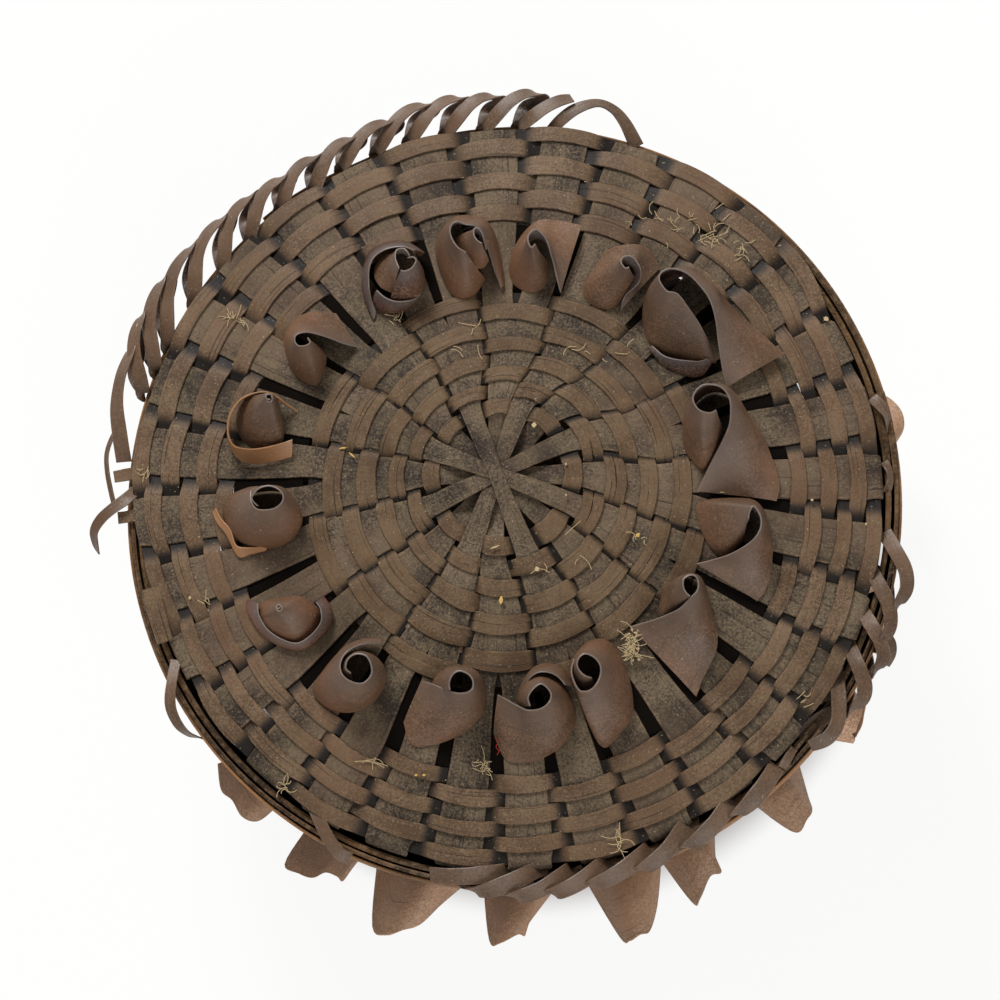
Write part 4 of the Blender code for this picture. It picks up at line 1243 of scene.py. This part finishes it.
def ribbon(book, path, width, thick, seed):
    """A cupped splint of slightly uneven width, along points with normals."""
    spots = [p for p, _ in path]
    count = len(path)
    grid = []
    for i in range(count):
        tangent = spots[min(i + 1, count - 1)] - spots[max(i - 1, 0)]
        across = tangent.cross(path[i][1])
        across.normalize()
        lift = across.cross(tangent).normalized()
        wide = width / 2 * (1.0 + 0.08 * wobble(seed + 2, i * 0.07))
        row = []
        for share in (-1.0, -0.55, 0.0, 0.55, 1.0):
            cup = 0.10 * MM * (1.0 - share * share)
            row.append(spots[i] + across * wide * share - lift * cup)
        grid.append(row)
    book.slab(grid, thick, tone_of(seed))


# Passes of the lashing over the hoops, clockwise: the pixels where each comes up by the weave and where
# it turns under, and how far it bows outwards, as a share of its length
BACK_PASSES = (
    (124, 462, 130, 352, 0.10), (143, 392, 140, 319, 0.12), (156, 370, 160, 284, 0.12),
    (168, 345, 188, 250, 0.13), (194, 303, 219, 221, 0.14), (223, 272, 246, 199, 0.14),
    (250, 240, 279, 179, 0.15), (281, 208, 312, 158, 0.15), (314, 190, 348, 139, 0.15),
    (342, 168, 386, 122, 0.15), (377, 152, 422, 105, 0.15), (410, 141, 456, 98, 0.15),
    (446, 134, 491, 96, 0.16), (484, 130, 533, 93, 0.16), (519, 127, 572, 98, 0.10),
)
FRONT_PASSES = (
    (884, 532, 900, 602, 0.20), (869, 566, 886, 638, 0.17), (861, 609, 880, 666, 0.19),
    (848, 644, 856, 707, 0.23), (837, 676, 810, 746, 0.25), (777, 766, 740, 812, 0.05),
    (733, 800, 690, 845, 0.06), (690, 822, 645, 868, 0.06), (650, 848, 596, 884, 0.06),
    (607, 861, 556, 893, 0.06), (572, 870, 519, 897, 0.06), (540, 868, 479, 892, 0.05),
    (508, 871, 430, 874, 0.05),
)

# Loose strips by the rim: width in millimetres, then x and y in pixels, the height in millimetres over
# the lid's edge, and the tilt of the strip's face in degrees
LOOSE_BACK = (
    (3.6, ((551, 132, -2, 80), (560, 121, 0.5, 75), (576, 109, 1.5, 65), (597, 103, 1.5, 50),
           (613, 109, 1, 50), (625, 123, 0, 60), (637, 147, -2.5, 80))),
    (2.9, ((136, 490, -1.5, 85), (126, 499, 0.6, 80), (112, 509, 0.8, 75), (101, 519, 0, 70),
           (94, 531, -2, 60), (95, 543, -4, 40), (99, 554, -5, 10))),
    (1.3, ((124, 424, -6, 60), (114, 434, -5, 60), (107, 452, -4.5, 60), (107, 470, -4.5, 60),
           (111, 492, -5, 60), (116, 512, -6, 60))),
)
LOOSE_FRONT = (
    (2.8, ((176, 660, -1, 85), (172, 680, 0.6, 80), (170, 698, 0.8, 75), (172, 712, 0, 70),
           (180, 727, -2, 55), (190, 735, -5, 40), (204, 739, -8, 20))),
    (3.4, ((311, 800, -0.6, 85), (318, 817, 0.6, 80), (327, 836, 0.5, 80), (339, 853, -0.5, 75),
           (350, 858, -2, 60))),
    (3.0, ((872, 398, -1.5, 80), (880, 405, -0.5, 60), (887, 416, -1, 40), (889, 430, -3, 30))),
    (2.2, ((884, 462, -1.5, 80), (889, 470, -0.5, 50), (890, 482, -1, 50), (886, 492, -3, 80))),
    (3.3, ((806, 702, -3, 85), (820, 697, -2, 85), (832, 693, -1.8, 85), (843, 690, -1.8, 85))),
    (4.0, ((800, 738, -4, 80), (812, 726, -3, 75), (826, 716, -2.5, 70), (841, 711, -3, 65))),
    (2.2, ((782, 768, -2, 80), (788, 758, -1.5, 70), (794, 748, -2, 70))),
    (4.0, ((884, 636, -2.5, 50), (890, 645, -3, 45), (890, 655, -4, 45), (883, 664, -6, 60))),
)
SPOKE_ENDS = (
    (3.1, ((150, 470, -0.6, 90), (136, 473, -0.8, 90), (125, 475, -0.9, 90), (114, 477, -1, 90))),
    (2.9, ((148, 514, -0.6, 90), (136, 515, -0.8, 90), (126, 517, -0.9, 90), (118, 518, -1, 90))),
    (4.6, ((150, 588, 1.2, 84), (154, 604, 1.5, 84), (159, 622, 1.5, 84), (165, 642, 1.2, 84))),
)
# The pixel of the photograph that the passes lie round
PHOTO_MIDDLE = (500, 488)


def facing(point, tilt):
    """A direction that leans from straight outwards, at 0 degrees, to straight up, at 90."""
    outward = Vector((point.x, point.y, 0.0)).normalized()
    return outward * math.cos(math.radians(tilt)) + Vector((0.0, 0.0, math.sin(math.radians(tilt))))


def marked_ribbon(book, marks, width, seed):
    """A ribbon through (x, y, height, tilt) marks, with x and y in pixels of the photograph."""
    spots = spline_points([spot(x, y, LID_EDGE + h * MM) for x, y, h, _ in marks], 8)
    tilts = spline_points([Vector((tilt, 0.0, 0.0)) for *_, tilt in marks], 8)
    path = [(point, facing(point, tilt.x)) for point, tilt in zip(spots, tilts)]
    ribbon(book, path, width, CURL_THICK, seed)


def lashing(book, passes, width, seed):
    """An unbroken strip wound round the hoops, over the top in each pass and back below."""
    marks = []
    count = len(passes)
    for i, (x0, y0, x1, y1, bow) in enumerate(passes):
        start = Vector((x0, y0, 0.0))
        end = Vector((x1, y1, 0.0))
        length = (end - start).length
        away = (end - Vector((*PHOTO_MIDDLE, 0.0))).normalized()
        onward = Vector((-away.y, away.x, 0.0))
        turn = -360.0 * i
        marks.append((start, -2.0, turn + 82.0))
        for share, rise, tilt in ((0.22, 0.9, 75.0), (0.48, 1.5, 66.0), (0.75, 1.3, 56.0)):
            swell = bow * length * math.sin(math.pi * share ** 1.15)
            marks.append((start.lerp(end, share) + away * swell, rise, turn + tilt))
        marks.append((end, 0.5, turn + 40.0))
        if i == count - 1:
            break
        after = Vector((*passes[i + 1][:2], 0.0))
        marks.append((end + onward * 7.0 - away * 1.0, -1.2, turn + 12.0))
        marks.append((end + onward * 9.0 - away * 7.0, -5.0, turn - 40.0))
        marks.append((end.lerp(after, 0.55) + away * 2.0, -10.7, turn - 80.0))
        marks.append((after - away * 1.0, -6.0, turn - 190.0))
    marked_ribbon(book, [(m.x, m.y, h, tilt) for m, h, tilt in marks], width, seed)


def loose_strips(book, strips, seed):
    for i, (width, marks) in enumerate(strips):
        marked_ribbon(book, marks, width * MM, seed + i)


def lashings():
    book = Book()
    lashing(book, BACK_PASSES, 4.0 * MM, 703)
    loose_strips(book, LOOSE_BACK, 705)
    book.piece("lid_lashing_back_splint", LASHING, "curl_splint", "lid", "lid_lashing_back")

    book = Book()
    lashing(book, FRONT_PASSES[:5], 3.9 * MM, 713)
    lashing(book, FRONT_PASSES[5:], 4.5 * MM, 716)
    loose_strips(book, LOOSE_FRONT, 720)
    book.piece("lid_lashing_front_splint", LASHING, "curl_splint", "lid", "lid_lashing_front")

    book = Book()
    loose_strips(book, SPOKE_ENDS, 740)
    book.piece("loose_spoke_ends", SPOKE, "spoke_splint", "lid")

    book = Book()
    rim_winding(book, 720)
    book.piece("rim_lashing_splint", LASHING, "curl_splint", "basket", "rim_lashing")


# Dust, lint and crumbs caught on the lid


# Tangles of fibres: middle and half spread in pixels, how many, and the height above the weave
TANGLES = (
    (655, 217, 40, 12, 7, 1.5), (700, 226, 44, 24, 16, 1.5), (716, 234, 10, 9, 14, 1.6),
    (748, 250, 20, 20, 8, 1.5), (632, 645, 7, 15, 46, 1.7), (482, 768, 9, 12, 16, 1.5),
    (395, 320, 8, 7, 6, 2.4), (234, 319, 8, 4, 14, 1.6), (620, 843, 5, 9, 14, 1.5),
    (455, 345, 34, 22, 6, 1.5), (600, 350, 40, 30, 6, 1.5), (145, 470, 7, 8, 6, 1.5),
    (205, 600, 12, 9, 4, 1.5), (640, 540, 10, 6, 4, 1.6), (283, 785, 6, 5, 10, 1.5),
    (372, 762, 6, 3, 8, 1.5), (806, 700, 12, 10, 4, 1.0), (560, 560, 40, 30, 5, 1.5),
)
# Crumbs: middle, length and width in pixels, heading in degrees, and the height above the weave
STRAW_CRUMBS = (
    (501, 600, 11, 5, 84, 1.5), (638, 535, 7, 5, 60, 1.5), (343, 448, 11, 2, 10, 1.5),
    (352, 455, 11, 2, -42, 1.6), (416, 775, 4, 3, 0, 1.4), (424, 775, 4, 3, 0, 1.4),
)
PALE_CRUMBS = (
    (461, 453, 6, 4, 20, 1.6), (534, 425, 7, 6, 80, 1.6), (537, 569, 7, 6, 30, 1.5),
    (566, 495, 3, 3, 0, 1.5), (566, 464, 3, 3, 0, 1.5), (549, 713, 5, 4, 40, 10.0),
    (533, 724, 5, 5, 10, 8.0), (547, 723, 4, 3, 0, 8.0), (139, 326, 8, 7, 80, 1.0),
    (826, 319, 6, 7, 60, 1.2), (190, 598, 4, 4, 0, 1.4), (866, 524, 3, 3, 0, 1.0),
    (495, 547, 13, 2, 20, 1.8), (725, 492, 15, 2, 5, 2.0), (812, 500, 4, 3, 0, 1.2),
)
RED_THREAD = ((495, 738), (498, 742), (496, 747), (499, 751), (497, 755))


def chance(seed):
    """A repeatable number between 0 and 1."""
    return (math.sin(seed * 78.233 + 1.7) * 43758.5453) % 1.0


def thread(book, marks, height, seed):
    spots = spline_points([above_weave(x, y, height) for x, y in marks], 4)
    ribbon(book, [(point, Vector((0.0, 0.0, 1.0))) for point in spots], 0.11 * MM, 0.09 * MM, seed)


def crumb(book, px, py, length, width, heading, height, seed):
    """A flat, uneven flake."""
    spin = complex(math.cos(math.radians(heading)), -math.sin(math.radians(heading)))
    grid = []
    for a in ACROSS:
        row = []
        for b in ACROSS:
            shrink = math.sqrt(max(0.05, 1.0 - 0.45 * (a * a + b * b) + 0.12 * wobble(seed, a * 2, b * 2)))
            place = spin * complex(a * length / 2 * shrink, b * width / 2 * shrink)
            row.append(above_weave(px + place.real, py + place.imag, height))
        grid.append(row)
    book.slab(grid, 0.35 * MM, 0.3)


def debris():
    book = Book()
    seed = 800
    for px, py, wide, tall, count, height in TANGLES:
        for _ in range(count):
            seed += 1
            x = px + wide * (chance(seed) + chance(seed + 0.3) - 1.0)
            y = py + tall * (chance(seed + 0.5) + chance(seed + 0.7) - 1.0)
            heading = 2 * math.pi * chance(seed + 0.9)
            length = 2.0 + 5.0 * chance(seed + 0.2) ** 2
            bend = 1.4 * (chance(seed + 0.4) - 0.5)
            marks = []
            for _ in range(4):
                marks.append((x, y))
                x += length * math.cos(heading)
                y += length * math.sin(heading)
                heading += bend
            thread(book, marks, height + 0.3 * chance(seed + 0.1), seed)
    for i, marks in enumerate(PALE_CRUMBS):
        crumb(book, *marks, 900 + i)
    for k in range(26):
        place = (632 + 7 * (chance(950 + k) * 2 - 1), 645 + 16 * (chance(980 + k) * 2 - 1))
        crumb(book, *place, 3 + 3 * chance(k), 2 + 2 * chance(k + 0.5), 360 * chance(k + 0.2), 1.5, 930 + k)
    book.piece("lint", LINT, "weaver_splint", "lid")
    book = Book()
    for i, marks in enumerate(STRAW_CRUMBS):
        crumb(book, *marks, 960 + i)
    book.piece("straw_crumbs", STRAW, "weaver_splint", "lid")
    book = Book()
    thread(book, RED_THREAD, 1.8, 990)
    book.piece("red_thread", RED_LINT, "weaver_splint", "lid")


# Light and floor


def add_stage():
    bpy.ops.mesh.primitive_plane_add(size=12.0, location=(0.0, 0.0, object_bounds()[0][2] - 0.2 * MM))
    floor = bpy.context.object
    floor.name = "floor"
    t = Tree("floor")
    t.shader.inputs["Base Color"].default_value = (0.86, 0.86, 0.85, 1.0)
    t.shader.inputs["Roughness"].default_value = 0.9
    t.shader.inputs["Specular IOR Level"].default_value = 0.1
    paper = t.node("ShaderNodeEmission")
    paper.inputs["Color"].default_value = (1.0, 1.0, 0.995, 1.0)
    seen = t.node("ShaderNodeLightPath").outputs["Is Camera Ray"]
    blend = t.node("ShaderNodeMixShader")
    place = t.node("ShaderNodeNewGeometry").outputs["Position"]
    length = t.node("ShaderNodeVectorMath", operation="LENGTH")
    t.link(place, length.inputs[0])
    clear = t.ramp(length.outputs["Value"], FLOOR_RADIUS + 6.0 * MM, FLOOR_RADIUS + 20.0 * MM)
    t.link(t.math("MULTIPLY", t.math("MULTIPLY", seen, clear), 0.90), blend.inputs[0])
    t.link(t.shader.outputs[0], blend.inputs[1])
    t.link(paper.outputs[0], blend.inputs[2])
    t.link(blend.outputs[0], t.tree.nodes["Material Output"].inputs["Surface"])
    floor.data.materials.append(t.material)


def area_lamp(name, place, aim, size, power):
    data = bpy.data.lights.new(name, "AREA")
    data.shape = "DISK"
    data.size = size
    data.energy = power
    lamp = bpy.data.objects.new(name, data)
    bpy.context.scene.collection.objects.link(lamp)
    lamp.location = place
    lamp.rotation_euler = (Vector(aim) - Vector(place)).to_track_quat("-Z", "Y").to_euler()


def add_light():
    area_lamp("key", (-0.40, 1.20, 1.15), (0, 0, 0.08), 0.6, 26.0)
    area_lamp("fill", (0.5, -1.2, 0.9), (0, 0, 0.06), 1.2, 11.0)
    world = bpy.data.worlds.new("World")
    world.use_nodes = True
    world.node_tree.nodes["Background"].inputs[0].default_value = (1.0, 1.0, 1.0, 1.0)
    world.node_tree.nodes["Background"].inputs[1].default_value = 0.36
    bpy.context.scene.world = world


add_camera()
lid_spokes()
lid_rows()
lid_curls()
body_uprights()
body_rows()
body_curls()
hoops()
lashings()
debris()
add_stage()
add_light()
bpy.context.scene.view_settings.view_transform = "Standard"
